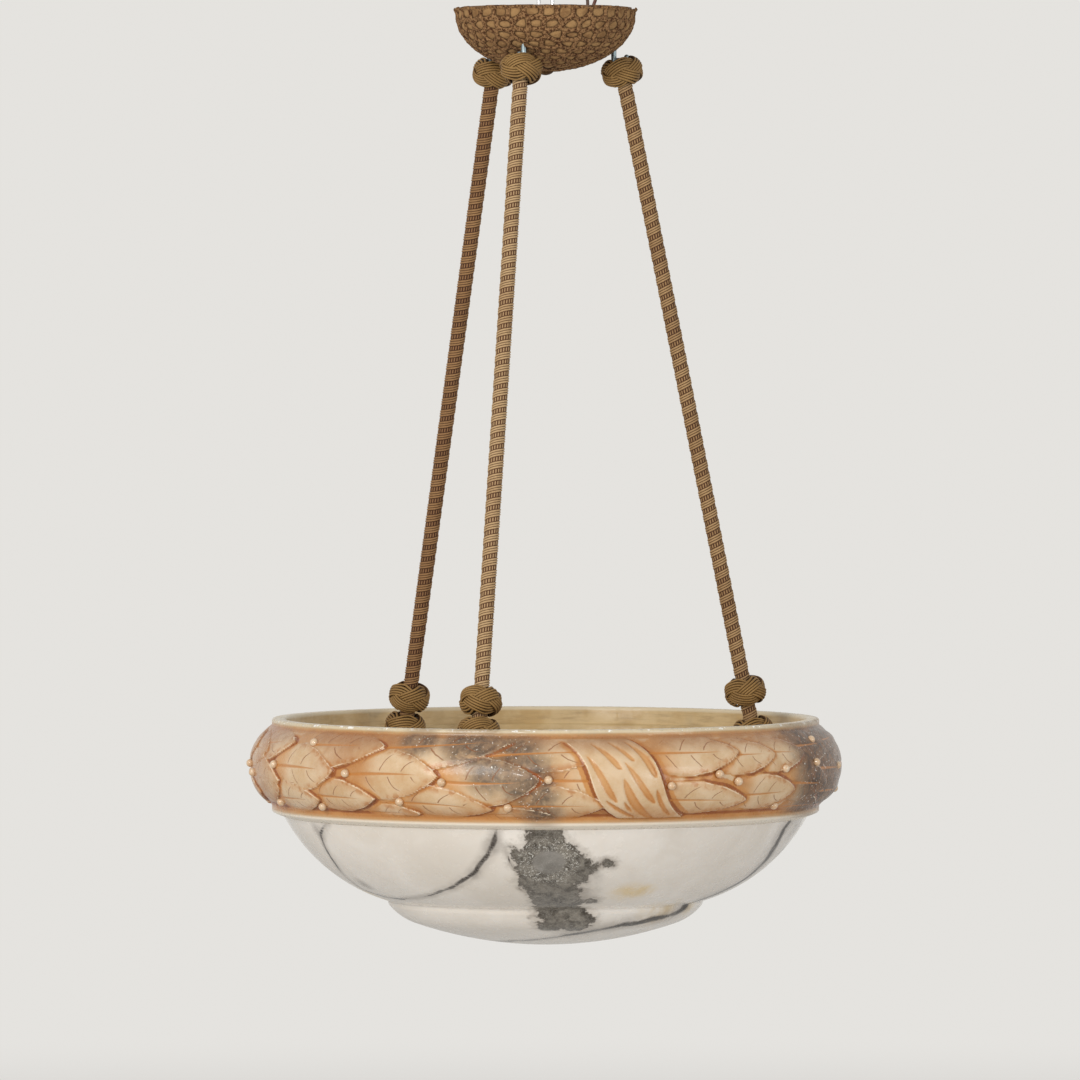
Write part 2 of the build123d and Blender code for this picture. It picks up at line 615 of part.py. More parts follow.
def main():
    os.makedirs("parts", exist_ok=True)
    save("hanging_eye", hanging_eye())
    save("chain_link", chain_link())
    save("eye_bolt", eye_bolt())
    save("bolt_nut", hex_nut(NUT_FLATS, PLATE_TOP - PLATE_T - NUT_H, NUT_H, BOLT_SHANK_R + FIT_GAP))
    save("suspension_plate", suspension_plate())
    save("canopy_cup", canopy_cup())
    save("canopy_cover", canopy_skin(0, COVER_T))
    save("canopy_nut", canopy_nut())
    cup_floor = CANOPY_FLOOR + COVER_T + SKIN_GAP + CUP_T
    save("cup_lock_nut", hex_nut(NUT_FLATS, cup_floor + BEARING_GAP, NUT_H, BOLT_SHANK_R + FIT_GAP))
    save("terminal_block", terminal_block())
    save("terminal_screws", *[slotted_screw(place) for place in screw_places()])
    save("supply_wire_brown", supply_wire(BROWN_ROUTE))
    save("supply_wire_dark", supply_wire(DARK_ROUTE))

    hook_nut = hex_nut(HOOK_NUT_FLATS, PLATE_TOP, HOOK_NUT_H, TOP_HOOK_WIRE_R + FIT_GAP)
    save("hook_nuts", *[upright_at(azimuth, HOOK_SHANK_R, 0) * hook_nut for azimuth in ROPE_AZIMUTHS])

    rope = rod(ROPE_D / 2, -ROPE_REACH, -ROPE_START)
    ropes = zip(ROPE_SIDES, ROPE_AZIMUTHS, RIM_KNOT_HEIGHTS, LOWER_KNOT_HEIGHTS)
    for side, azimuth, rim_knot_height, lower_knot_height in ropes:
        save(f"top_hook_{side}", upright_at(azimuth, HOOK_MIDDLE_R, PIVOT_Z) * top_hook())
        save(f"rope_eye_{side}", along_rope(azimuth) * rope_eye())
        save(f"top_knot_{side}", along_rope(azimuth) * top_knot())
        save(f"rope_{side}", along_rope(azimuth) * rope)
        save(f"rim_knot_{side}", along_rope(azimuth, rope_below_pivot(rim_knot_height)) * knot())
        save(f"lower_knot_{side}", along_rope(azimuth, rope_below_pivot(lower_knot_height)) * knot())
        save(f"foot_hook_{side}", along_rope(azimuth, ROPE_REACH) * foot_hook())
        save(f"lug_eye_{side}", radial_at(azimuth, LUG_R, LUG_Z) * lug_eye())

    save("alabaster_bowl", alabaster_bowl())
    save("lamp_spider", lamp_spider())
    save("lamp_hub", lamp_hub())
    nipple_top = SPIDER_TOP + NIPPLE_L / 2
    save("hub_nipple", hollow_nipple(HUB_TOP - NIPPLE_L / 2, nipple_top))
    save("hub_nut", hex_nut(3 * NIPPLE_R, SPIDER_TOP, NIPPLE_R, NIPPLE_R + FIT_GAP))
    holder_nipple = hollow_nipple(HOLDER_START - NIPPLE_L / 2, HOLDER_START + NIPPLE_L / 2)
    spots = [radial_at(azimuth, 0, LAMP_Z) for azimuth in HOLDER_AZIMUTHS]
    save("holder_nipples", *[spot * holder_nipple for spot in spots])
    tongue = rod(TONGUE_R, SOCKET_FLOOR, SOCKET_FLOOR + TONGUE_T)
    save("socket_contacts", *[spot * tongue for spot in spots])
    glass = turned(glass_section(0) - glass_section(GLASS_T))
    for number, spot in enumerate(spots, start=1):
        save(f"lampholder_{number}", spot * (Pos(0, 0, HOLDER_START) * lampholder()))
        save(f"bulb_cap_{number}", spot * (Pos(0, 0, GLASS_START) * bulb_cap()))
        save(f"bulb_glass_{number}", spot * (Pos(0, 0, GLASS_START) * glass))


main()
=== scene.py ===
import json
from math import atan2, cos, exp, hypot, pi, radians, sin, sqrt

import bmesh
import bpy
import numpy as np
from mathutils import Matrix, Vector, kdtree, noise

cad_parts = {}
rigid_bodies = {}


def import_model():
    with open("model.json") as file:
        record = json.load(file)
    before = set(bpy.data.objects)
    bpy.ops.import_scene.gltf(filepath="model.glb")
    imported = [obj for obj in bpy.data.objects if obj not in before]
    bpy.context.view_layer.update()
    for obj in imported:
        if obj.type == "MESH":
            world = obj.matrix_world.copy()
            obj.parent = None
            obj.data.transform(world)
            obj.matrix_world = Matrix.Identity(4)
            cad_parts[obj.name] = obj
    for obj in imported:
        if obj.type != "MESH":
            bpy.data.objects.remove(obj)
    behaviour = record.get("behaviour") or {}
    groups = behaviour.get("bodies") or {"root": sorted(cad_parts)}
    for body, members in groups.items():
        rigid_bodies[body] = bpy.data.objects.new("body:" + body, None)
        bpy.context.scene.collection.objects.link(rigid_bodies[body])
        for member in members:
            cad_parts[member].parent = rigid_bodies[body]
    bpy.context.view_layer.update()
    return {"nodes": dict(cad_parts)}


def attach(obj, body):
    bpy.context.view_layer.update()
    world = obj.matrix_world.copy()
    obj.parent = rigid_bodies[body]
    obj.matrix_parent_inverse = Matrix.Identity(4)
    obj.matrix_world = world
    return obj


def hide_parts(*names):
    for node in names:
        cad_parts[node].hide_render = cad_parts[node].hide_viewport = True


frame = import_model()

# The view and the light: a long lens from the front, a little above the bowl's rim. A large lamp stands on
# the left, a weaker one on the right, and a small one gives the glints on the wax. Floor and paper are pale.
stage = bpy.context.scene.collection.objects
camera = bpy.data.objects.new("camera", bpy.data.cameras.new("camera"))
camera.data.lens = 283.3
camera.data.sensor_width = 36
camera.location = (-0.0042, -6.444, -0.283)
camera.rotation_euler = (radians(88.668), 0, 0)
stage.link(camera)
bpy.context.scene.camera = camera
bpy.context.scene.view_settings.view_transform = "Standard"


def lamp(name, place, size, power, colour):
    """A round soft lamp that looks at the bowl."""
    light = bpy.data.lights.new(name, "AREA")
    light.shape = "DISK"
    light.size = size
    light.energy = power
    light.color = colour
    stand = bpy.data.objects.new(name, light)
    stand.location = place
    stand.rotation_euler = (Vector((0, 0, -0.5)) - Vector(place)).to_track_quat("-Z", "Y").to_euler()
    stage.link(stand)


lamp("window", (-2.6, -3.8, 1.0), 2.2, 110, (1, 0.98, 0.95))
lamp("reflector", (3.2, -2.6, -0.2), 1.8, 34, (0.95, 0.97, 1))
lamp("glint", (-0.9, -4.6, 0.5), 0.35, 24, (1, 1, 1))


def add(tree, kind, *values, out=0, **named):
    """A shader node's output: lower-case names are settings, the others inputs, as values or links."""
    node = tree.nodes.new("ShaderNode" + kind)
    for key, value in named.items():
        if key[0].islower():
            setattr(node, key, value)
    pairs = [(node.inputs[i], value) for i, value in enumerate(values)]
    pairs += [(node.inputs[key.replace("_", " ")], value) for key, value in named.items() if key[0].isupper()]
    for socket, value in pairs:
        if isinstance(value, bpy.types.NodeSocket):
            tree.links.new(value, socket)
        elif value is not None:
            socket.default_value = value
    return node.outputs[out] if node.outputs else None


def tint(red, green, blue):
    """A paint chip's 0 to 255 numbers as a shader colour."""
    return tuple((c / 255) ** 2.2 for c in (red, green, blue)) + (1,)


air = bpy.data.worlds.new("air")
bpy.context.scene.world = air
air.use_nodes = True
tree = air.node_tree
tree.nodes.clear()
ray = tree.nodes.new("ShaderNodeLightPath").outputs
seen = add(tree, "Math", ray["Is Camera Ray"], ray["Is Glossy Ray"], operation="MAXIMUM")
seen = add(tree, "Math", seen, ray["Is Transmission Ray"], operation="MAXIMUM")
glow = add(tree, "Background", Color=(1, 1, 1, 1), Strength=0.48)
paper = add(tree, "Background", Color=tint(228, 226, 222), Strength=1.0)
add(tree, "OutputWorld", add(tree, "MixShader", seen, glow, paper))

floor_r, floor_z = 4.5, -1.15
disc = bmesh.new()
bmesh.ops.create_circle(disc, cap_ends=True, segments=96, radius=floor_r)
bmesh.ops.translate(disc, verts=disc.verts, vec=(0, 0, floor_z))
floor = bpy.data.objects.new("floor", bpy.data.meshes.new("floor"))
disc.to_mesh(floor.data)
stage.link(floor)
paint = bpy.data.materials.new("pale_floor")
paint.use_nodes = True
tree = paint.node_tree
tree.nodes.clear()
spot = add(tree, "VectorMath", add(tree, "TexCoord", out="Object"), (1, 1, 0), operation="MULTIPLY")
reach = add(tree, "VectorMath", spot, operation="LENGTH", out="Value")
fade = add(tree, "MapRange", reach, 1.6, 4.2, 0.0, 1.0, interpolation_type="SMOOTHSTEP")
under = add(tree, "NewGeometry", out="Backfacing")
gone = add(tree, "Math", fade, under, operation="MAXIMUM")
pale = add(tree, "BsdfDiffuse", Color=tint(226, 224, 220))
clear = add(tree, "BsdfTransparent")
add(tree, "OutputMaterial", add(tree, "MixShader", gone, pale, clear))
floor.data.materials.append(paint)


# The supply wires: two rubber-covered single wires, brown and nearly black, that rise from the terminal block
# past the canopy's rim, cut to length for the ceiling's own connector.
def material(name, roughness, **sockets):
    """A new material, the Object coordinates in it and its shader, with plain values for the sockets."""
    new = bpy.data.materials.new(name)
    new.use_nodes = True
    shader = new.node_tree.nodes["Principled BSDF"]
    shader.inputs["Roughness"].default_value = roughness
    for key, value in sockets.items():
        shader.inputs[key.replace("_", " ")].default_value = value
    return new, add(new.node_tree, "TexCoord", out="Object"), shader.inputs


def tree_of(*values):
    """The node tree in which a value is made."""
    return next(value.id_data for value in values if isinstance(value, bpy.types.NodeSocket))


def link(value, socket):
    value.id_data.links.new(value, socket)


def blend(amount, low, high, how="MIX"):
    """Two colours mixed by an amount."""
    node = tree_of(amount, low, high).nodes.new("ShaderNodeMix")
    node.data_type = "RGBA"
    node.blend_type = how
    for socket, value in zip((node.inputs[0], node.inputs[6], node.inputs[7]), (amount, low, high)):
        if isinstance(value, bpy.types.NodeSocket):
            link(value, socket)
        else:
            socket.default_value = value
    return node.outputs[2]


def span(value, low, high, start=0.0, end=1.0):
    """A value's way from low to high as an amount, soft at both ends."""
    return add(value.id_data, "MapRange", value, low, high, start, end, interpolation_type="SMOOTHSTEP")


def speckle(place, scale, detail=3.0, roughness=0.55, distortion=0.0):
    """Cloudy noise from 0 to 1."""
    return add(place.id_data, "TexNoise", Vector=place, Scale=scale, Detail=detail, Roughness=roughness,
               Distortion=distortion)


def relief(shader, height, strength, distance):
    """Fine relief that only the light sees."""
    link(add(height.id_data, "Bump", Height=height, Strength=strength, Distance=distance), shader["Normal"])


def mottled(name, roughness, tones, stains, edges, grain, **sockets):
    """A finish of two tones, the second in cloudy stains, with a fine grain over both."""
    new, place, shader = material(name, roughness, **sockets)
    stain = span(speckle(place, *stains), *edges)
    link(blend(stain, *tones), shader["Base Color"])
    scale, detail, strength, distance = grain
    relief(shader, speckle(place, scale, detail), strength, distance)
    return new


def rubber(name, colour):
    return mottled(name, 0.52, (colour, tint(118, 92, 76)), (260.0, 4.0), (0.35, 0.75),
                   (900.0, 3.0, 0.25, 0.0004))


wire_d = 0.0026
brown_route = [(0.018, 0.016, -0.0385), (0.026, 0.016, -0.0385), (0.034, 0.0145, -0.0325),
               (0.0385, 0.0135, -0.0225), (0.0395, 0.014, -0.011), (0.0375, 0.0155, 0.0005)]
dark_route = [(0.018, 0.025, -0.0385), (0.0245, 0.025, -0.0385), (0.0303, 0.0253, -0.0342),
              (0.0325, 0.0246, -0.0262), (0.031, 0.0232, -0.017), (0.0295, 0.0216, -0.007)]


def supply_wire(name, route, finish):
    """A wire along its route, carried by the canopy."""
    curve = bpy.data.curves.new(name, "CURVE")
    curve.dimensions = "3D"
    curve.bevel_depth = wire_d / 2
    curve.bevel_resolution = 3
    curve.resolution_u = 12
    curve.use_fill_caps = True
    line = curve.splines.new("NURBS")
    line.points.add(len(route) - 1)
    for point, place in zip(line.points, route):
        point.co = (*place, 1)
    line.order_u = 3
    line.use_endpoint_u = True
    wire = bpy.data.objects.new(name, curve)
    stage.link(wire)
    curve.materials.append(finish)
    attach(wire, "canopy")
    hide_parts(name)


supply_wire("supply_wire_brown", brown_route, rubber("brown_rubber", tint(92, 48, 36)))
supply_wire("supply_wire_dark", dark_route, rubber("dark_rubber", tint(58, 40, 38)))


# Hanging ironwork: a flat eye, a bright link, the eye bolt, the three-armed plate with its nuts, and the
# ropes' hooks and eyes. Steel bent and turned, bright above where it shows and dull zinc lower down.
def metal(name, colour, tarnish, roughness, cloud=90.0):
    """Bare metal with clouds of tarnish; a larger cloud number makes them finer."""
    new, place, shader = material(name, roughness, Metallic=1.0)
    stain = span(speckle(place, cloud, 5.0, 0.6), 0.42, 0.72)
    link(blend(stain, colour, tarnish), shader["Base Color"])
    link(span(speckle(place, cloud * 3), 0.3, 0.7, roughness - 0.08, roughness + 0.14), shader["Roughness"])
    relief(shader, speckle(place, cloud * 9, 4.0), 0.18, 0.0003)
    return new


def dress(finish, *nodes):
    """A finish for CAD nodes, whose meshes stay as they are."""
    for node in nodes:
        for slot in frame["nodes"][node].material_slots:
            slot.material = finish


sides = ("right", "left", "middle")
dress(metal("bright_steel", tint(206, 206, 206), tint(150, 146, 140), 0.24), "hanging_eye", "chain_link")
dress(metal("dull_zinc", tint(142, 156, 160), tint(88, 90, 86), 0.42), "eye_bolt", "bolt_nut",
      "suspension_plate", "hook_nuts", "cup_lock_nut",
      *[f"{part}_{side}" for part in ("top_hook", "rope_eye", "foot_hook") for side in sides])

# Canopy cup and terminal block: a spun cup of thin steel, painted brown, with a domed nut under it, and a
# glazed block with brass screws. The cup's inside and the block are seen only from above.
dress(mottled("cup_paint", 0.5, (tint(122, 92, 62), tint(92, 84, 76)), (70.0, 6.0, 0.65), (0.5, 0.72),
              (420.0, 3.0, 0.2, 0.0004)), "canopy_cup")
dress(metal("browned_brass", tint(104, 78, 50), tint(74, 54, 36), 0.5, 70.0), "canopy_nut")
porcelain = mottled("porcelain", 0.16, (tint(238, 234, 224), tint(206, 194, 170)), (55.0, 5.0, 0.6),
                    (0.5, 0.8), (130.0, 1.0, 0.12, 0.0006), Coat_Weight=0.4)
brass = metal("aged_brass", tint(196, 158, 92), tint(118, 88, 52), 0.34, 70.0)
dress(porcelain, "terminal_block")
dress(brass, "terminal_screws")


# Canopy cover: a hand-made net of brown cord, crocheted with round holes over a tan lining that swells
# through them, drawn down over the cup and gathered close round the bolt.
def wrapped(around, along, shape):
    """A grid laid onto a shape, which gives a place for each way round and way along, from 0 to 1."""
    cloth = bmesh.new()
    cloth.loops.layers.uv.new("UVMap")
    bmesh.ops.create_grid(cloth, x_segments=around, y_segments=along, size=0.5, calc_uvs=True)
    ways = np.array([vert.co[:2] for vert in cloth.verts]) + 0.5
    for vert, spot in zip(cloth.verts, shape(*ways.T)):
        vert.co = spot
    bmesh.ops.remove_doubles(cloth, verts=cloth.verts, dist=2e-6)
    ends = [edge for edge in cloth.edges if edge.is_boundary]
    if ends:
        bmesh.ops.holes_fill(cloth, edges=ends)
    bmesh.ops.recalc_face_normals(cloth, faces=cloth.faces)
    return cloth


def keep(mesh, name, values):
    """A value for each of a mesh's points, three numbers or one, that its finish reads."""
    kind, field = ("FLOAT_VECTOR", "vector") if np.ndim(values) == 2 else ("FLOAT", "value")
    layer = mesh.attributes.new(name, kind, "POINT")
    layer.data.foreach_set(field, np.ascontiguousarray(values, dtype=np.float32).ravel())


def parted(vector):
    """The three parts of a vector."""
    parts = vector.id_data.nodes.new("ShaderNodeSeparateXYZ")
    link(vector, parts.inputs[0])
    return parts.outputs


def read(place, name):
    """The three parts of a value kept on the mesh."""
    return parted(add(place.id_data, "Attribute", attribute_name=name, out="Vector"))


def places(mesh):
    """Where a mesh's points are, one row for each."""
    spots = np.empty(len(mesh.vertices) * 3, dtype=np.float32)
    mesh.vertices.foreach_get("co", spots)
    return spots.reshape(-1, 3).astype(float)


def piece(name, mesh, finish, body, slot, *nodes):
    """A smooth piece from a mesh, with its finish, on the body that carries it."""
    if isinstance(mesh, bmesh.types.BMesh):
        shape = bpy.data.meshes.new(name)
        mesh.to_mesh(shape)
        mesh.free()
        mesh = shape
    mesh.shade_smooth()
    new = bpy.data.objects.new(name, mesh)
    stage.link(new)
    mesh.materials.append(finish)
    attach(new, body)
    if nodes:
        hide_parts(*nodes)
    return new


def calc(operation, *values):
    return add(tree_of(*values), "Math", *values, operation=operation)


def plus(total, *others):
    for other in others:
        total = calc("ADD", total, other)
    return total


def times(product, *others):
    for other in others:
        product = calc("MULTIPLY", product, other)
    return product


canopy_rim, cover_r, straight, deep = -0.0297, 0.068, 0.005, 0.043
cover_t, bolt_hole, rim_roll = 0.0025, 0.0034, 0.0034
lap = 0.09
bend = np.linspace(0, pi / 2, 200)
cup_line = np.vstack([[[cover_r, canopy_rim]],
                      np.column_stack([cover_r * np.cos(bend), canopy_rim - straight - deep * np.sin(bend)])])
cup_line = cup_line[cup_line[:, 0] > bolt_hole]
cup_way = np.concatenate([[0], np.cumsum(np.hypot(*np.diff(cup_line, axis=0).T))])
cup_side = np.gradient(cup_line, cup_way, axis=0)
cup_out = np.column_stack([-cup_side[:, 1], cup_side[:, 0]])


def cup_place(way, depth):
    """Radius and height on the cover, a way down from its rim and a depth inside its outer face."""
    line = [np.interp(way, cup_way, column) for column in (*cup_line.T, *cup_out.T)]
    return line[0] - depth * line[2], line[1] - depth * line[3]


row_ways, hole_pitch = np.arange(0.0060, 0.078, 0.0091), 0.0128
rng = np.random.default_rng(7)
holes = []
for row, way in enumerate(row_ways):
    ring, height = cup_place(way, 0)
    count = max(5, round(2 * pi * ring / hole_pitch))
    for step in range(count):
        turn = 2 * pi * (step + 0.5 * (row % 2) + rng.uniform(-0.14, 0.14)) / count
        lift = rng.uniform(-0.0009, 0.0009)
        holes.append((ring * cos(turn), ring * sin(turn), height + lift))
net_holes = kdtree.KDTree(len(holes))
for number, hole in enumerate(holes):
    net_holes.insert(hole, number)
net_holes.balance()
net_marks = []


def cover_shape(round_way, down_way):
    """The cover's places: up its inner face over the lap, then down the netted outer face to the bolt."""
    turn = 2 * pi * round_way
    inside = down_way < lap
    way = np.where(inside, (lap - down_way) / lap, (down_way - lap) / (1 - lap)) * cup_way[-1]
    ring, height = cup_place(way, 0)
    spots = np.column_stack([ring * np.cos(turn), ring * np.sin(turn), height])
    depth = np.full(len(turn), cover_t)
    for number in np.flatnonzero(~inside):
        spot = Vector(spots[number])
        (_, _, near), (_, _, next_near) = net_holes.find_n(spot, 2)
        edge = (next_near - near) / 2
        at_rim = max(0.0, 1 - way[number] / rim_roll)
        knobs = noise.noise(spot * 620) + 0.6 * noise.noise(spot * 1300)
        cord = max(at_rim, 1 - (edge / 0.0018) ** 2)
        swell = min(1.0, max(0.0, (edge - 0.0016) / 0.0026))
        if cord > 0.02:
            depth[number] = 0.0009 - 0.0013 * sqrt(cord) - 0.0005 * cord * knobs
        else:
            depth[number] = 0.0016 - 0.0013 * sqrt(swell)
        bead = exp(-((way[number] - 0.0019) / 0.0013) ** 2)
        depth[number] -= 0.0007 * bead * (1.5 + sin(turn[number] * 96))
        way[number] = max(0.0, way[number] - rim_roll * at_rim * noise.noise(spot * 150))
        net_marks.append((*spots[number], cord, swell, knobs))
    ring, height = cup_place(way, depth)
    return np.column_stack([ring * np.cos(turn), ring * np.sin(turn), height])


cover = wrapped(640, 118, cover_shape)
yarn, place, shader = material("crochet_yarn", 0.9, Specular_IOR_Level=0.2)
marks = read(place, "net")
fluff = speckle(place, 1500.0, 3.0, 0.6)
stitch = speckle(place, 640.0, 2.0, 0.5, 0.8)
cord_tone = blend(span(stitch, 0.36, 0.6), tint(66, 42, 27), tint(158, 122, 84))
cord_tone = blend(span(fluff, 0.35, 0.75, 0.0, 0.5), cord_tone, tint(104, 66, 42))
lining = blend(span(speckle(place, 120.0, 4.0), 0.35, 0.7), tint(166, 130, 88), tint(130, 97, 64))
# Painted shade: the lining turns near black-brown where it sinks beside the cords round each hole.
lining = blend(span(marks[1], 0.0, 0.5), tint(40, 24, 14), lining)
link(blend(span(marks[0], 0.02, 0.3), lining, cord_tone), shader["Base Color"])
relief(shader, plus(stitch, times(fluff, 0.5)), 0.7, 0.0012)
cover = piece("crochet_cover", cover, yarn, "canopy", "crochet", "canopy_cover")
seek = kdtree.KDTree(len(net_marks))
for number, mark in enumerate(net_marks):
    seek.insert(mark[:3], number)
seek.balance()
net = np.zeros((len(cover.data.vertices), 3))
for number, spot in enumerate(places(cover.data)):
    _, found, away = seek.find(spot)
    if away < 0.002:
        net[number] = net_marks[found][3:]
keep(cover.data, "net", net)


# Ropes: a stiff core closely wound with cord, three smooth threads side by side and a sunk ladder of short
# ribs between their turns. Each hangs from its hook under the canopy to its hook below the bowl's rim.
pivot_r, pivot_z, foot_r, foot_z = 0.059, -0.0757, 0.165, -0.5947
rope_top, rope_foot, rope_d = -0.008, -0.5297, 0.011
turn_rise, turn_rows, rungs = 0.0092, 20, 16
rope_turns = int((rope_top - rope_foot) / turn_rise) + 2
core_r, thread_high, rung_high = 0.0050, 0.0009, 0.0005
threads, thread_half, ladder_low, ladder_high = (0.1, 0.3, 0.5), 0.1, 0.62, 0.98


def rope_frame(azimuth):
    """Place of a rope's upper pivot, with Z up the rope and X away from the pendant's axis."""
    out = Vector((cos(radians(azimuth)), sin(radians(azimuth)), 0))
    top = out * pivot_r + Vector((0, 0, pivot_z))
    foot = out * foot_r + Vector((0, 0, foot_z))
    rise = (top - foot).normalized()
    side = rise.cross(out).normalized()
    turned = Matrix((side.cross(rise), side, rise)).transposed().to_4x4()
    return Matrix.Translation(top) @ turned


def rope_shape(round_way, along_way):
    """The winding's places: rows climb as they go round, so the threads and ribs run in a screw."""
    turns = along_way * rope_turns
    step = turns % 1.0
    bulge = np.max([1 - ((step - middle) / thread_half) ** 2 for middle in threads], axis=0)
    ladder = (step > ladder_low) & (step < ladder_high)
    rung = 0.5 + 0.5 * np.cos(2 * pi * rungs * round_way)
    ring = core_r + thread_high * np.sqrt(np.clip(bulge, 0, 1)) + rung_high * ladder * rung
    height = np.clip(rope_foot + turn_rise * (turns - 1 + round_way), rope_foot, rope_top)
    turn = 2 * pi * round_way
    return np.column_stack([ring * np.cos(turn), ring * np.sin(turn), height])


def wound_cord(name, light, dark, deep):
    """The winding's finish: light threads, dark ribs and painted shade of deep brown between them, worn in
    places.
    """
    new, place, shader = material(name, 0.74, Specular_IOR_Level=0.3)
    ways = parted(add(place.id_data, "TexCoord", out="UV"))
    step = calc("FRACT", times(ways[1], float(rope_turns)))
    thread = 0.0
    for middle in threads:
        off = calc("ABSOLUTE", calc("SUBTRACT", step, middle))
        thread = calc("MAXIMUM", span(off, 0.096, 0.05), thread)
    ladder = times(span(step, ladder_low, ladder_low + 0.05), span(step, ladder_high, ladder_high - 0.05))
    ribs = calc("COSINE", times(ways[0], 2 * pi * rungs))
    ribs = times(span(ribs, -0.45, 0.35), ladder)
    wear = speckle(place, 34.0, 3.0)
    fibre = speckle(place, 1100.0, 2.0)
    # Painted shade: deep brown wherever there is neither thread nor rib, in the grooves between them.
    tone = blend(ribs, deep, dark)
    tone = blend(thread, tone, light)
    tone = blend(span(wear, 0.4, 0.75, 0.0, 0.3), tone, dark, "MULTIPLY")
    tone = blend(span(fibre, 0.4, 0.8, 0.0, 0.3), tone, deep)
    link(tone, shader["Base Color"])
    height = plus(calc("MAXIMUM", ribs, thread), times(fibre, 0.25))
    relief(shader, height, 0.8, 0.0007)
    return new


rope_azimuths = {"right": 12, "left": 132, "middle": 252}
# Painted light and shade: one cord, painted lightest on the front (middle) rope and darkest on the back
# (left).
rope_tones = {
    "right": (tint(178, 144, 102), tint(164, 130, 90), tint(78, 48, 28)),
    "left": (tint(160, 122, 82), tint(148, 110, 74), tint(70, 42, 24)),
    "middle": (tint(194, 162, 120), tint(182, 150, 110), tint(88, 56, 34)),
}
for side, azimuth in rope_azimuths.items():
    stand = rope_frame(azimuth)
    rope = wrapped(4 * rungs, rope_turns * turn_rows, rope_shape)
    bmesh.ops.transform(rope, matrix=stand, verts=rope.verts)
    rope = piece(f"wound_rope_{side}", rope, wound_cord(f"rope_cord_{side}", *rope_tones[side]),
                 f"rope_{side}", "rope_braid", f"rope_{side}")
    line = [stand @ Vector((0, 0, rope_top + (rope_foot - rope_top) * i / 24)) for i in range(25)]

# Knots: each is a Turk's head of three leads and four bights, tied with five cords side by side and worked
# tight over the rope. One hides each rope's hook, one sits over the bowl's rim and one just inside it.
leads, bights, cords = 3, 4, 5
cord_r, cord_pitch, swing = 0.00108, 0.00198, 0.0070
knot_r, knot_half, crossing_lift = 0.0137, 0.0126, 0.0012


def barrel(height):
    """The knot's radius at a height over its middle."""
    return knot_r * np.clip(1 - np.abs(height / knot_half) ** 2.6, 0.02, 1) ** 0.46


def knot_line(way, offset):
    """Points of one cord of the knot, an offset to the side of the lead's middle."""
    turn = way * 2 * pi * leads
    phase = turn * bights / leads
    height = swing * np.sin(phase)
    climb = swing * np.cos(phase) * bights / leads
    ring = barrel(height)
    length = np.hypot(ring, climb)
    turn = turn - offset * climb / length / ring
    height = height + offset * ring / length
    ring = barrel(height) + crossing_lift * np.sin(2 * phase)
    return np.column_stack([ring * np.cos(turn), ring * np.sin(turn), height])


def knot_mesh(matrix):
    """All cords of a knot in one mesh, each a closed tube along its line."""
    whole = bmesh.new()
    for number in range(cords):
        offset = (number - (cords - 1) / 2) * cord_pitch

        def cord_shape(round_way, along_way):
            middle = knot_line(along_way, offset)
            ahead = knot_line(along_way + 0.0005, offset) - knot_line(along_way - 0.0005, offset)
            ahead /= np.linalg.norm(ahead, axis=1)[:, None]
            away = middle * (1, 1, 0.6)
            away -= ahead * np.sum(away * ahead, axis=1)[:, None]
            away /= np.linalg.norm(away, axis=1)[:, None]
            side = np.cross(ahead, away)
            turn = 2 * pi * round_way[:, None]
            return middle + cord_r * (away * np.cos(turn) + side * np.sin(turn))

        cord = wrapped(9, 260, cord_shape)
        bmesh.ops.transform(cord, matrix=matrix, verts=cord.verts)
        part = bpy.data.meshes.new("cord")
        cord.to_mesh(part)
        cord.free()
        whole.from_mesh(part)
        bpy.data.meshes.remove(part)
    return whole


knot_cord, place, shader = material("knot_cord", 0.62, Specular_IOR_Level=0.3)
ways = parted(add(place.id_data, "TexCoord", out="UV"))
# Painted light and shade: each cord light along its outward crown and dark brown down its sides.
lit_crown = span(calc("COSINE", times(ways[0], 2 * pi)), 0.2, 0.98)
twist = plus(times(ways[1], 2 * pi * 190), times(ways[0], 2 * pi * 2))
twist = span(calc("SINE", twist), -0.8, 0.6)
fibre = speckle(place, 900.0, 3.0)
tone = blend(lit_crown, tint(58, 36, 18), tint(154, 120, 72))
tone = blend(times(twist, 0.2), tone, tint(104, 74, 38))
tone = blend(span(speckle(place, 60.0, 3.0), 0.4, 0.7, 0.0, 0.4), tone, tint(104, 76, 42))
tone = blend(span(fibre, 0.45, 0.8, 0.0, 0.3), tone, tint(74, 50, 26))
link(tone, shader["Base Color"])
relief(shader, plus(times(twist, 0.3), fibre), 0.4, 0.0003)
# Painted shade: each knot's core is dark brown, for the shade seen through the gaps between its cords.
shade_filling, place, shader = material("knot_shade_filling", 0.9)
fibre = speckle(place, 700.0)
link(blend(fibre, tint(52, 34, 20), tint(94, 68, 42)), shader["Base Color"])
relief(shader, fibre, 0.6, 0.0006)

rim_z = -0.5677
to_rim = pivot_z - rim_z
lean = atan2(foot_r - pivot_r, pivot_z - foot_z)
flattened = (1.02, 1.02, 0.91)
core_half, core_wall, rim_settle = 0.0085, 0.0019, 0.0032
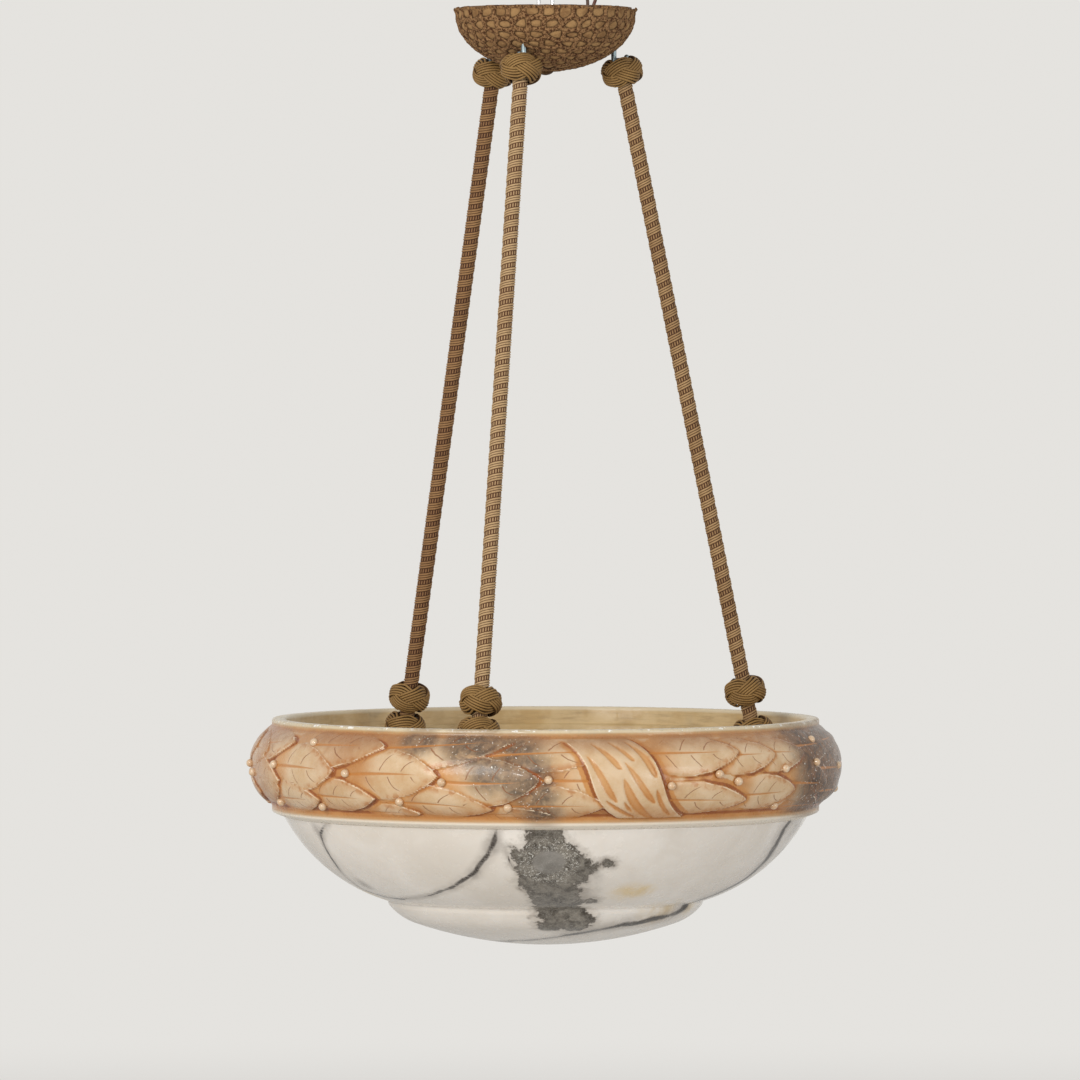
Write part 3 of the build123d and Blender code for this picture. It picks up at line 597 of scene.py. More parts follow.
# For each kind: the turn of its first bight, its hole, and how far below the pivot each side's knot lies.
knots = {
    "top_knot": (20, 0.0078, {"right": 0.002, "left": 0.002, "middle": 0.002}),
    "rim_knot": (64, 0.0060, {"right": to_rim - 0.022, "left": to_rim - 0.014, "middle": to_rim - 0.022}),
    "lower_knot": (110, 0.0060, {"right": to_rim + 0.012, "left": to_rim + 0.012, "middle": to_rim + 0.004}),
}
for kind, (start, hole, drops) in knots.items():
    for side, drop in drops.items():
        down = drop if kind == "top_knot" else drop / cos(lean)
        down += rim_settle if kind == "rim_knot" else 0
        spot = rope_frame(rope_azimuths[side]) @ Matrix.Translation((0, 0, -down))
        spot @= Matrix.Rotation(radians(start + 37 * len(side)), 4, "Z") @ Matrix.Diagonal((*flattened, 1))
        piece(f"woven_{kind}_{side}", knot_mesh(spot), knot_cord, f"rope_{side}", "knot_cord",
              f"{kind}_{side}")
        core = bmesh.new()
        line = [core.verts.new((hole, 0, z)) for z in (-core_half, core_half)]
        line += [core.verts.new((max(hole + 0.001, float(barrel(z)) - core_wall), 0, z))
                 for z in np.linspace(core_half, -core_half, 9)]
        edges = [core.edges.new(pair) for pair in zip(line, line[1:] + line[:1])]
        bmesh.ops.spin(core, geom=line + edges, cent=(0, 0, 0), axis=(0, 0, 1), angle=2 * pi, steps=32,
                       use_merge=True)
        bmesh.ops.remove_doubles(core, verts=core.verts, dist=1e-6)
        bmesh.ops.recalc_face_normals(core, faces=core.faces)
        bmesh.ops.transform(core, matrix=spot, verts=core.verts)
        piece(f"{kind}_filling_{side}", core, shade_filling, f"rope_{side}", "knot_cord")


# Carved band: the bowl's thick upper rim, turned from one block of alabaster and carved with overlapping
# laurel leaves and three crossing ribbons. Orange-brown wax is rubbed into the hollows and off the tops; the
# darker brown deep in the hollows and crevices is painted shade.
def bulged(start, end, bulge, count):
    """Points of an arc from start to end that stands out to the right of the way."""
    (x0, z0), (x1, z1) = start, end
    chord = hypot(x1 - x0, z1 - z0)
    side = ((z1 - z0) / chord, -(x1 - x0) / chord)
    radius = (chord * chord / 4 + bulge * bulge) / (2 * bulge)
    back = radius - bulge
    centre = ((x0 + x1) / 2 - side[0] * back, (z0 + z1) / 2 - side[1] * back)
    first, last = (atan2(z - centre[1], x - centre[0]) for x, z in (start, end))
    last = first + (last - first + pi) % (2 * pi) - pi
    angles = np.linspace(first, last, count)
    return [(centre[0] + radius * cos(a), centre[1] + radius * sin(a)) for a in angles]


def turned(line, steps):
    """A closed half section, as radius and height, turned about the pendant's axis."""
    section = np.array(line + line[:1])

    def lathe(round_way, along_way):
        ring, height = section[np.round(along_way * (len(section) - 1)).astype(int)].T
        turn = 2 * pi * round_way
        return np.column_stack([ring * np.cos(turn), ring * np.sin(turn), height])

    return wrapped(steps, len(section) - 1, lathe)


band_middle, body_top, tube_mm, tube_ring = -0.6030, -0.6417, 35, 0.190
arc_end, band_rows, band_steps = 1.0467, 61, 1150
hollow_r, hollow_z = 0.112, -0.699
tube_r = tube_mm / 1000
rows = np.linspace(arc_end, -arc_end, band_rows)
arc = [(tube_ring + tube_r * cos(a), band_middle + tube_r * sin(a)) for a in rows]
inner = bulged((hollow_r, hollow_z), (0.192, -0.628), 0.012, 25)
band_inner = [p for p in inner if p[1] > body_top + 0.001]
joint_r = float(np.interp(body_top, [p[1] for p in inner], [p[0] for p in inner]))
band_line = [(0.1975, -0.5695), (0.1981, rim_z - 0.0006), (0.1987, rim_z), (0.2030, rim_z), (0.2064, rim_z),
             (0.2072, rim_z - 0.0006), (0.2075, rim_z - 0.0016), (0.2075, -0.5708)] + arc + \
            [(0.2075, -0.6352), (0.2075, -0.6374), (0.2066, -0.6384), (0.2035, -0.6398), (0.1985, body_top),
             (joint_r, body_top)] + band_inner + [(0.192, -0.605), (0.192, -0.5825), (0.1926, -0.5812),
                                                  (0.1969, -0.5810), (0.1975, -0.5802)]

# The carving: degrees round the band from the middle of the ribbon before it, and millimetres up its face
# from its middle. Leaf: base, tip, height of the midrib at both, half width, bow. Berry: place and height.
leaves = [
    (3, 25.2, 20, 18.5, 19, 0), (17, 35, 17, 15.5, 16, 0), (44, 71.6, 23, 24.2, 20, 0),
    (68, 98.4, 22, 31, 21, 0), (91, 119, 17, 20, 16.5, 2),
    (62.5, 83.9, 0.5, 1.3, 21.5, 1.5), (82.5, 103.5, -2, -1.1, 21.5, -2), (102.5, 126, -1, -2, 20, 0),
    (3, 27.2, -17.2, -19.2, 15.5, 0), (23, 41.2, -15.5, -12.6, 16, -1),
    (51, 69.7, -17.5, -17.6, 16, 0), (66, 79, -33, -31, 10, 0), (72, 94.2, -21, -25.6, 16, 2),
    (90, 106, -33, -30, 8, 0), (96, 116.5, -23, -21, 17.5, 0),
]
leaves_left = [
    (23, 45.2, 19, 24.2, 16, 0), (22, 41.8, -5, -7, 18, 0), (38.5, 60, 4.2, 2.7, 21, 1),
    (34.5, 54.6, -22.6, -21, 16, 0), (8, 27, -16, -20, 15, 0),
]
leaves_right = [
    (26, 45, 19, 15, 16, 0), (38, 58, 21, 21, 17, 0), (37.5, 55.2, -7.5, -10.4, 18, 0),
    (49, 66, 2, 0, 19, 0), (40, 56, -31, -29, 12, 0),
]
berries = [(63.3, 1.6), (75.2, -19.6), (84.7, -3.1), (97.3, -23.8), (105.2, -0.5), (9.2, -6.1), (19.6, 1.9),
           (24.2, -4.3), (51.8, 25.2), (37, -27.5)]
berries_left = [(39.6, 4.7), (53.8, -28.4)]
berries_right = [(37.4, 3.6), (49.5, 6.5)]
thirds = [(0, leaves_right, berries_right), (1, leaves_right, berries_right), (2, leaves_left, berries_left)]
berry_mm, ribbon_turn = 3.1, 285.3
degree = 0.2208 * pi / 180 * 1000
turns, climbs = np.meshgrid(np.arange(band_steps) * 360 / band_steps, rows)
up_face = climbs * tube_mm


def ease(value, low, high):
    """A value's way from low to high as a share, soft at both ends."""
    share = np.clip((value - low) / (high - low), 0, 1)
    return share * share * (3 - 2 * share)


carved = 1.2 + 0.25 * np.sin(turns * 1.7) * np.cos(up_face * 0.35)
inward = np.full_like(turns, 10.0)
leaf_way = np.zeros((*turns.shape, 3))
from_berry = np.full_like(turns, 99.0)
fullest = 0.3835
for third, more, more_berries in thirds:
    lapse = (turns - ribbon_turn - 120 * third + 120) % 360 - 120
    for number, (base, tip, low, high, half, bow) in enumerate(leaves + more):
        way = (lapse - base) / (tip - base)
        on = np.clip(way, 0, 1)
        ripple = 1 + 0.02 * np.sin(on * 30 + number * 2.1) * ease(on, 0.3, 0.5)
        width = half * on ** 0.6 * (1 - on) ** 0.85 / fullest * ripple
        side = up_face - (low + (high - low) * on + bow * 4 * on * (1 - on))
        edge = (width - np.abs(side)) * 0.9 - np.abs(way - on) * (tip - base) * degree
        across = side / np.maximum(width, 1)
        lift = 1.1 + 2.3 * on ** 1.15
        face = lift + 0.9 * (1 - np.exp(-np.maximum(edge, 0) / 3.0))
        face += 0.35 * np.exp(-((edge - 0.8) / 0.8) ** 2) * ease(on, 0.35, 0.6)
        face -= 0.4 * np.exp(-(side / 0.9) ** 2) * ease(on, 0.0, 0.1) * ease(on, 0.8, 0.6)
        face = np.where(edge > 0, face, lift + 2.2 * edge)
        top = face > carved
        carved = np.where(top, face, carved)
        inward = np.where(top, np.clip(edge, -1, 10), inward)
        leaf_way[top] = np.stack([on, across, np.full_like(on, number * 0.37 + third)], axis=-1)[top]
    for place_round, place_up in berries + more_berries:
        from_berry = np.minimum(from_berry, np.hypot((lapse - place_round) * degree, up_face - place_up))

# The ribbons: a strip with a raised border and long tear-shaped cuts. Cut: its first end and its last, each
# as a share of the ribbon's half width and millimetres up the face, and its half width.
ribbon_half, half_mm, border_mm, ribbon_high = 6.9, 26.6, 26, 4.3
cuts = [(-0.82, 18, -0.54, -17.5, 3.1), (-0.36, 27.5, -0.08, 6.5, 3.0), (0.18, 29, 0.4, 12.5, 2.3),
        (0.70, 30, 0.84, 1.0, 3.0), (0.12, 12.5, 0.54, -18.5, 3.1), (-0.08, 0.5, 0.0, -35, 4.6),
        (0.77, -8, 0.7, -31, 2.5), (-0.82, -16, -0.46, -33, 2.9), (-0.3, -17, -0.33, -26, 1.8)]
lapse = (turns - ribbon_turn + 60) % 120 - 60
down = -up_face / 36
out = (lapse - 3.1 * down - 3.9 * down ** 3) / ribbon_half
from_border = (1 - np.abs(out)) * border_mm
strip = ribbon_high + 0.5 * (1 - out ** 2) + 0.45 * np.exp(-(from_border - 1.1) ** 2 / 0.9)
hollow = np.zeros_like(out)
for across_start, up_start, across_end, up_end, width in cuts:
    long = np.array([(across_end - across_start) * half_mm, up_end - up_start])
    reach = np.hypot(*long)
    px, py = (out - across_start) * half_mm, up_face - up_start
    share = (px * long[0] + py * long[1]) / reach ** 2
    on = np.clip(share, 0, 1)
    off = np.abs(px * long[1] - py * long[0]) / reach
    tear = width * on ** 0.6 * (1 - on) ** 0.3 / 0.564
    hollow = np.maximum(hollow, ease(tear - off - np.abs(share - on) * reach, -0.5, 1.1))
strip = np.where(np.abs(out) < 1, strip - 0.9 * hollow, ribbon_high + 2.2 * from_border)
top = strip > carved
carved = np.where(top, strip, carved)
inward = np.where(top, np.clip(from_border, -1, 10), inward)
hollow = np.where(top, hollow, 0)
leaf_way[top] = (1, 1, 0)
plain_mm = 3.4
smooth_end = ease(np.abs(up_face), 36.5, 33.5) * ease(up_face, 35.5, 27.5)
carved = np.clip(carved, 0, 5.4) * smooth_end + plain_mm * (1 - smooth_end)
inward = 10 + (inward - 10) * smooth_end


def overhang(reach, slope):
    """How far each place lies below the carving that stands near it, less a slope."""
    deepest = np.zeros_like(carved)
    for rows_off in range(-reach, reach + 1):
        moved = np.pad(carved, ((reach, reach), (0, 0)), mode="edge")
        moved = moved[reach + rows_off:reach + rows_off + band_rows]
        for columns_off in range(-reach, reach + 1):
            away = hypot(rows_off, columns_off)
            if 0 < away < reach + 0.3:
                deepest = np.maximum(deepest, np.roll(moved, columns_off, axis=1) - carved - slope * away)
    return deepest


# Painted shade and wax: how deep each place lies below the carving near it, over a wide reach and a narrow
# one, sets both the wax in the hollows and the painted shade under the leaves' tips and in the crevices.
shadow, crevice = overhang(5, 0.24), overhang(2, 0.38)
# Painted shade with wax: amber deepening to brown along the creases where the carved face meets its lips.
shadow = np.maximum(shadow, 1.3 * ease(np.abs(up_face), 32.5, 36.2))
# A shallow nest round each berry, its amber partly wax and partly painted shade.
nest = np.exp(-np.clip(from_berry - berry_mm, 0, None) / 0.8) * (np.abs(out) > 1)
carved -= 0.5 * nest
shadow, crevice = np.maximum(shadow, 0.8 * nest), np.maximum(crevice, 0.55 * nest)

band = turned(band_line, band_steps)
mesh = bpy.data.meshes.new("carved_band")
band.to_mesh(mesh)
band.free()
spots = places(mesh)
ring = np.hypot(spots[:, 0], spots[:, 1])
over, up = ring - tube_ring, spots[:, 2] - band_middle
angle = np.arctan2(up, over)
on_arc = (np.abs(np.hypot(over, up) - tube_r) < 1e-5) & (np.abs(angle) < arc_end + 1e-4)
round_band = np.degrees(np.arctan2(spots[:, 1], spots[:, 0])) % 360
column = np.round(round_band * band_steps / 360).astype(int) % band_steps
row = np.round((arc_end - angle) / (2 * arc_end) * (band_rows - 1))
row = np.clip(row, 0, band_rows - 1).astype(int)
sink = np.where(on_arc, (carved[row, column] - plain_mm) / 1000, 0)
direction = np.column_stack([spots[:, :2] / ring[:, None] * np.cos(angle)[:, None], np.sin(angle)])
spots += direction * sink[:, None]
chip = np.full(len(spots), -1.0)
for number in np.flatnonzero(spots[:, 2] > rim_z - 0.0035):
    spot = Vector(spots[number])
    chip[number] = noise.noise(spot * 130) + 0.5 * noise.noise(spot * 420)
at_edge = np.exp(-((ring - 0.2072) / 0.0012) ** 2) + 0.6 * np.exp(-((ring - 0.1978) / 0.001) ** 2)
spots[:, 2] -= 0.0011 * ease(chip, 0.28, 0.6) * at_edge
mesh.vertices.foreach_set("co", spots.astype(np.float32).ravel())
flag = on_arc.astype(float)
keep(mesh, "carved", flag)
keep(mesh, "hollow", hollow[row, column] * flag)
keep(mesh, "leaf", leaf_way[row, column] * flag[:, None])
keep(mesh, "wax_and_shade", np.column_stack([layer[row, column] * flag for layer in (shadow, crevice, inward)]))


def zone(place, middle, near, far):
    """How close a point of the stone is to a place in it."""
    away = add(place.id_data, "VectorMath", place, middle, operation="DISTANCE", out="Value")
    return span(away, far, near)


def wander(value, width):
    """Noise from 0 to 1 as a drift to both sides of nothing."""
    return times(calc("SUBTRACT", value, 0.5), width)


def kept(place, name):
    """A single value kept on the mesh."""
    return add(place.id_data, "Attribute", attribute_name=name, out="Fac")


waxed, place, shader = material("waxed_alabaster", 0.34, Subsurface_Weight=0.1, Specular_IOR_Level=0.32,
                               Subsurface_Radius=(0.004, 0.003, 0.002), Coat_Weight=0.16, Coat_Roughness=0.1)
height = parted(place)[2]
leaf, wax_and_shade = read(place, "leaf"), read(place, "wax_and_shade")
is_carved = kept(place, "carved")
cloud = speckle(place, 42.0, 4.0, 0.6)
fine = speckle(place, 260.0, 4.0, 0.6)

# Cream stone on the high places and amber wax at the leaves' bases and edges. Under the leaves' tips and in
# the hollows the amber is partly the wax and partly painted shade; the band also turns amber towards its
# bottom.
amber = blend(span(cloud, 0.35, 0.7), tint(200, 144, 86), tint(180, 120, 66))
creamy = blend(span(cloud, 0.3, 0.7), tint(218, 191, 157), tint(204, 171, 130))
wax_and_shade_amount = plus(wax_and_shade[0], wander(fine, 0.5), wander(cloud, 0.7))
stone = blend(span(wax_and_shade_amount, 0.0, 0.62), creamy, amber)
on_leaf = times(span(leaf[0], 0.0, 0.01), span(leaf[0], 1.0, 0.995))
base_wax = times(span(leaf[0], 0.42, 0.16), on_leaf)
stone = blend(times(base_wax, 0.85), stone, amber)
edge_wax = times(span(wax_and_shade[2], 6.5, 1.2), on_leaf, span(leaf[0], 0.3, 0.5))
blots = times(span(speckle(place, 190.0, 2.0, 0.5), 0.50, 0.6), edge_wax)
stone = blend(times(edge_wax, 0.35), stone, amber)
stone = blend(times(blots, 0.7), stone, tint(180, 120, 70))
pool = blend(span(height, -0.600, -0.622), tint(206, 156, 102), tint(194, 134, 76))
stone = blend(times(kept(place, "hollow"), 0.8), stone, pool)
low_down = times(span(height, -0.620, -0.634), 0.7, span(cloud, 0.35, 0.6, 0.4, 1.0))
stone = blend(low_down, stone, tint(184, 124, 70))
dull = times(span(height, -0.588, -0.575, 0.0, 0.85), span(cloud, 0.3, 0.6, 0.6, 1.0))
stone = blend(dull, stone, tint(162, 118, 82))

# The grey and brown clouds that lie in the block itself, each a place with its full and its outer radius.
# The large one at the band's right end is partly painted shade.
grey_clouds = [((-0.094, -0.193, -0.573), 0.008, 0.022), ((-0.054, -0.209, -0.576), 0.014, 0.032),
               ((-0.022, -0.2175, -0.584), 0.006, 0.028), ((-0.042, -0.219, -0.598), 0.006, 0.026),
               ((-0.015, -0.224, -0.602), 0.012, 0.030), ((-0.008, -0.2215, -0.613), 0.008, 0.026),
               ((-0.003, -0.2120, -0.628), 0.006, 0.022), ((0.216, -0.045, -0.588), 0.060, 0.100),
               ((-0.120, 0.190, -0.600), 0.030, 0.100), ((0.150, 0.165, -0.590), 0.020, 0.080)]
grey = 0.0
for cloud_place in grey_clouds:
    grey = calc("MAXIMUM", zone(place, *cloud_place), grey)
smoke = speckle(add(place.id_data, "Mapping", place, None, None, (1, 1, 2.2)), 26.0, 6.0, 0.62, 1.2)
grey = times(grey, span(smoke, 0.25, 0.5))
mottle = speckle(place, 150.0, 5.0, 0.7, 0.6)
smoky = blend(span(mottle, 0.35, 0.68), tint(72, 62, 56), tint(138, 112, 88))
stone = blend(times(grey, 0.84), stone, smoky)
# Painted shade: the band's right end, turned away to the side, is darkened further to a deep brown.
right_end_shade = times(zone(place, (0.216, -0.045, -0.588), 0.060, 0.096), span(smoke, 0.22, 0.42, 0.4, 0.9))
brown = blend(span(mottle, 0.3, 0.7), tint(56, 36, 20), tint(124, 84, 48))
stone = blend(right_end_shade, stone, brown)
left_end = calc("MAXIMUM", zone(place, (-0.148, -0.160, -0.574), 0.012, 0.052),
                zone(place, (-0.224, -0.030, -0.600), 0.030, 0.085))
left_end = times(left_end, span(smoke, 0.3, 0.55, 0.25, 0.6))
stone = blend(left_end, stone, tint(164, 106, 58))
# Painted shade: darker brown where carving overhangs a place deeply, and dark orange lines in the narrow
# crevices.
stone = blend(span(wax_and_shade[0], 0.9, 2.4, 0.0, 0.6), stone, tint(172, 108, 56))
stone = blend(span(wax_and_shade[1], 0.15, 1.0, 0.0, 0.9), stone, tint(146, 80, 36))

# The leaves' veins: side veins at even steps, bent towards the tip, and a midrib that thins out on its way.
half = calc("ABSOLUTE", leaf[1])
bent = times(calc("POWER", half, 1.8), 0.2)
steps = times(calc("SUBTRACT", leaf[0], bent), 4.2)
steps = plus(steps, leaf[2], span(leaf[1], -0.01, 0.01, 0.0, 0.4), wander(cloud, 0.3))
reach = plus(half, wander(cloud, 0.6))
vein = times(span(calc("PINGPONG", steps, 0.5), 0.036, 0.012), span(half, 0.08, 0.15),
             span(reach, 0.75, 0.6), span(leaf[0], 0.2, 0.26), span(leaf[0], 0.82, 0.74))
taper = times(calc("SUBTRACT", 0.92, leaf[0]), 0.12)
midrib = span(calc("DIVIDE", half, calc("MAXIMUM", taper, 0.004)), 1.15, 0.4)
midrib = times(midrib, span(leaf[0], 0.86, 0.7), span(leaf[0], 0.0, 0.04))
stone = blend(times(vein, 0.75), stone, tint(140, 86, 48))
stone = blend(times(midrib, 0.8), stone, tint(186, 120, 58))

# Edges rubbed pale, and painted glints: white specks of painted highlight, most on the grey clouds and edges.
lip = times(span(wax_and_shade[2], 0.0, 0.3), span(wax_and_shade[2], 1.15, 0.55), span(leaf[0], 0.4, 0.6))
painted_glints = span(speckle(place, 520.0, 2.0, 0.5), 0.66, 0.72)
painted_glints = times(painted_glints, plus(times(grey, 0.9), times(lip, 0.8), 0.08))
stone = blend(painted_glints, stone, tint(240, 234, 224))
scrape = times(lip, span(speckle(place, 110.0, 3.0), 0.38, 0.6, 0.12, 1.0), 0.8)
stone = blend(scrape, stone, tint(240, 218, 188))

# The plain stone of the rim, the inner wall and the lower lip: bare, streaked, chipped and a little waxed.
bare = blend(span(cloud, 0.35, 0.68), tint(198, 172, 128), tint(182, 152, 104))
streak = speckle(add(place.id_data, "Mapping", place, None, None, (1, 1, 9)), 30.0, 5.0, 0.65)
bare = blend(span(streak, 0.46, 0.72, 0.0, 0.65), bare, tint(156, 130, 90))
bare = blend(span(speckle(place, 22.0, 4.0), 0.56, 0.74, 0.0, 0.55), bare, tint(140, 132, 116))
flat_place = add(place.id_data, "VectorMath", place, (1, 1, 0), operation="MULTIPLY")
from_axis = add(place.id_data, "VectorMath", flat_place, operation="LENGTH", out="Value")
bare = blend(times(span(height, -0.5712, -0.5690), 0.85), bare, tint(214, 199, 170))
lip_wax = times(span(from_axis, 0.2066, 0.2074), span(height, -0.5695, -0.5715),
                span(height, -0.6388, -0.6345), span(fine, 0.3, 0.6, 0.55, 0.95))
bare = blend(lip_wax, bare, tint(188, 140, 92))
foot_pale = times(span(height, -0.6352, -0.6376), span(from_axis, 0.192, 0.195))
bare = blend(foot_pale, bare, tint(232, 220, 202))
chipped = times(span(speckle(place, 210.0, 3.0), 0.56, 0.64),
                span(from_axis, 0.2055, 0.2068), span(height, -0.5697, -0.5688))
bare = blend(chipped, bare, tint(250, 247, 240))
grey_rim = times(grey, 0.6, span(from_axis, 0.2035, 0.2060))
bare = blend(grey_rim, bare, tint(142, 116, 90))
link(blend(is_carved, bare, stone), shader["Base Color"])
inside = span(from_axis, 0.1985, 0.1965)
link(plus(span(fine, 0.3, 0.75, 0.24, 0.42), times(inside, 0.25)), shader["Roughness"])
cutting = times(calc("MAXIMUM", vein, times(midrib, 0.6)), is_carved, 0.6)
grain = plus(times(fine, 0.5), times(lip, is_carved, 0.45))
relief(shader, calc("SUBTRACT", grain, cutting), 0.6, 0.0006)
piece("carved_band", mesh, waxed, "bowl", "alabaster", "alabaster_bowl")

# Berries: round beads left standing between the leaves' tips, of the same stone, with little wax on them and
# brighter than the leaves.
berry_ring = 0.0342
balls = bmesh.new()
for third, _, more_berries in thirds:
    for place_round, place_up in berries + more_berries:
        turn, climb = radians(ribbon_turn + 120 * third + place_round), place_up / tube_mm
        reach = tube_ring + berry_ring * cos(climb)
        middle = Vector((reach * cos(turn), reach * sin(turn), band_middle + berry_ring * sin(climb)))
        bmesh.ops.create_icosphere(balls, subdivisions=4, radius=berry_mm / 1000,
                                   matrix=Matrix.Translation(middle))
berry_stone = mottled("berry_stone", 0.3, (tint(220, 194, 162), tint(204, 166, 126)), (170.0, 3.0, 0.6),
                      (0.35, 0.65), (420.0, 2.0, 0.25, 0.0004), Subsurface_Weight=0.15,
                      Subsurface_Radius=(0.004, 0.003, 0.002), Coat_Weight=0.5, Coat_Roughness=0.08)
piece("carved_berries", balls, berry_stone, "bowl", "alabaster", "alabaster_bowl")


# Bowl body: the turned lower part with its stepped foot and domed base, polished, in warm white stone with
# grey veins, honey-coloured clouds and one dark crystalline patch at the front. Its hollow is smooth too.
def dome(edge_r, edge_z, pole_z, count):
    """Points of an arc from an edge to the lowest place on the axis."""
    drop = edge_z - pole_z
    ball = (edge_r ** 2 + drop ** 2) / (2 * drop)
    return [(r, pole_z + ball - sqrt(ball * ball - r * r)) for r in np.linspace(edge_r, 0, count)]


base_r, base_z, base_pole, hollow_pole, body_steps = 0.0987, -0.7229, -0.7393, -0.7243, 720
body_line = bulged((0.120, -0.7057), (0.1985, body_top), 0.0102, 46)[::-1]
body_line[1:1] = [(0.1982, body_top - 0.0006)]
body_line += [(0.1196, -0.7072), (0.1188, -0.7092)]
body_line += bulged((base_r, base_z), (0.118, -0.7102), 0.0016, 10)[::-1]
body_line += dome(base_r, base_z, base_pole, 36)[1:]
body_line += dome(hollow_r, hollow_z, hollow_pole, 14)[::-1]
outer_face = np.array(sorted((z, r) for r, z in body_line[:95])).T
body_line += [p for p in inner if p[1] < body_top - 0.001][1:] + [(joint_r, body_top)]
body = turned(body_line, body_steps)
mesh = bpy.data.meshes.new("bowl_body")
body.to_mesh(mesh)
body.free()
spots = places(mesh)


def in_stone(turn, height):
    """A place on the bowl's outer face, from degrees round it and a height in millimetres."""
    ring = np.interp(height / 1000, *outer_face)
    return np.array([ring * cos(radians(turn)), ring * sin(radians(turn)), height / 1000])


def spread(blots):
    """For each point of the mesh, 1 in the middle of a blot and 0 at its size and beyond."""
    amount = np.zeros(len(spots))
    for turn, height, size in blots:
        away = np.linalg.norm(spots - in_stone(turn, height), axis=1)
        amount = np.maximum(amount, 1 - away / size * 1000)
    return amount


# Veins: how bold each is, and its stops, in degrees round the bowl and millimetres of height. Patches and
# clouds: degrees, height and radius.
veins = [
    (1.0, [(215.3, -639), (209.8, -651), (206.5, -667), (202.1, -682), (199.5, -695)]),
    (0.9, [(199.5, -695), (208.4, -700), (223.4, -699), (235.8, -694), (245.8, -685)]),
    (1.2, [(245.8, -685), (252.7, -674), (256.6, -662), (258.8, -650), (259.8, -638)]),
    (2.9, [(338.4, -640), (336.3, -648), (337.7, -660), (340.2, -672), (341.5, -687), (337.9, -696),
           (334.2, -702)]),
    (2.5, [(334.2, -702), (332, -707), (328.0, -711), (314.5, -716), (302.5, -719), (291.9, -723),
           (281.4, -727)]),
    (1.4, [(281.4, -727), (267.1, -731), (247.9, -733), (225, -735)]),
    (1.2, [(8, -641), (15, -662), (30, -680), (38, -700), (40, -716)]),
    (1.0, [(40, -716), (62, -724), (120, -730)]),
    (0.7, [(62, -655), (78, -668), (101, -676), (120, -690), (127, -706)]),
    (1.2, [(150, -640), (156, -660), (150, -684), (160, -700), (171, -713)]),
    (0.8, [(171, -713), (190, -722), (214, -731)]),
    (0.75, [(275, -679), (278.4, -676), (281.4, -673), (284.2, -664), (286.2, -670)]),
    (0.75, [(275, -697), (279.4, -696.5), (281.8, -694), (285.5, -696)]),
    (0.45, [(276.3, -701.5), (282.1, -707.8), (288.2, -715)]),
    (0.4, [(270.5, -701), (266.9, -707), (264.2, -712)]),
    (0.4, [(264, -676), (261.8, -670.7), (260.9, -660.5), (260.5, -654)]),
    (0.35, [(267, -693), (262.4, -686.7)]),
]
patches = [(269.6, -638, 13), (270.2, -652, 16), (270.2, -667, 25), (275.7, -673, 19), (268.2, -681, 16),
           (272.5, -691, 19), (273, -697, 18), (274, -701.5, 18), (275, -707.5, 18), (276.3, -711, 18),
           (281.7, -716, 14), (272.3, -718, 11), (281.6, -670, 4.2), (284.7, -668, 3.1), (284.1, -698, 4.6),
           (285.6, -668, 2.4), (263.3, -659, 6.2), (95, -668, 22), (99, -684, 18)]
honey_clouds = [(293.8, -692, 20), (315.4, -708, 26), (335, -708, 14), (298.3, -691, 14), (196, -700, 20),
                (60, -700, 30)]
grey_smears = [(209, -649, 12), (345, -650, 20), (350, -668, 16), (258.4, -653, 12), (252, -676, 10),
               (208, -690, 14), (280, -690, 20), (279, -697, 16), (281, -680, 16)]
noise.seed_set(7)
bent_spots = spots + [list(noise.noise_vector(Vector(spot) * 45) * 0.0024) for spot in spots]
from_vein = np.full(len(spots), 1.0)
for weight, route in veins:
    stops = [in_stone(*stop) for stop in route]
    for here, there in zip(stops, stops[1:]):
        run = there - here
        share = np.clip(((bent_spots - here) @ run) / (run @ run), 0, 1)
        off = bent_spots - here - share[:, None] * run
        from_vein = np.minimum(from_vein, np.linalg.norm(off, axis=1) / weight)
dark = np.full(len(spots), -60.0)
for turn, height, size in patches:
    dark = np.maximum(dark, size - np.linalg.norm(spots - in_stone(turn, height), axis=1) * 1000)
keep(mesh, "stone", np.column_stack([from_vein * 1000, dark, spread(honey_clouds)]))
keep(mesh, "smear", spread(grey_smears))

polished, place, shader = material("polished_alabaster", 0.2, Subsurface_Weight=0.2, Coat_Weight=0.25,
                                  Subsurface_Radius=(0.008, 0.007, 0.006), Coat_Roughness=0.1)
marks = read(place, "stone")
cloud = speckle(place, 16.0, 4.0, 0.55, 0.4)
fine = speckle(place, 120.0, 5.0, 0.62)
wild = speckle(place, 34.0, 5.0, 0.6, 0.8)
white = blend(span(cloud, 0.3, 0.7), tint(238, 231, 222), tint(223, 214, 202))
white = blend(span(wild, 0.52, 0.75, 0.0, 0.4), white, tint(240, 235, 228))
honey = times(span(marks[2], 0.0, 0.8), span(wild, 0.3, 0.6))
white = blend(honey, white, tint(224, 200, 156))
smear = times(span(kept(place, "smear"), 0.0, 0.9), span(wild, 0.3, 0.6, 0.2, 0.6))
white = blend(smear, white, tint(132, 124, 116))
line_way = plus(marks[0], wander(wild, 3.2), wander(fine, 2.4))
halo = times(span(line_way, 7.5, 0.8), span(wild, 0.35, 0.6, 0.3, 1.0), 0.6)
white = blend(halo, white, tint(146, 136, 126))
thin = times(span(line_way, 2.1, 0.6), span(fine, 0.28, 0.5, 0.7, 1.0))
white = blend(thin, white, tint(56, 48, 42))
ragged = plus(marks[1], wander(fine, 15.0), wander(wild, 11.0),
              wander(speckle(place, 330.0, 3.0, 0.6), 9.0))
patch = span(ragged, -1.0, 1.6)
white = blend(times(span(ragged, -8.0, 0.5), 0.5), white, tint(164, 154, 142))

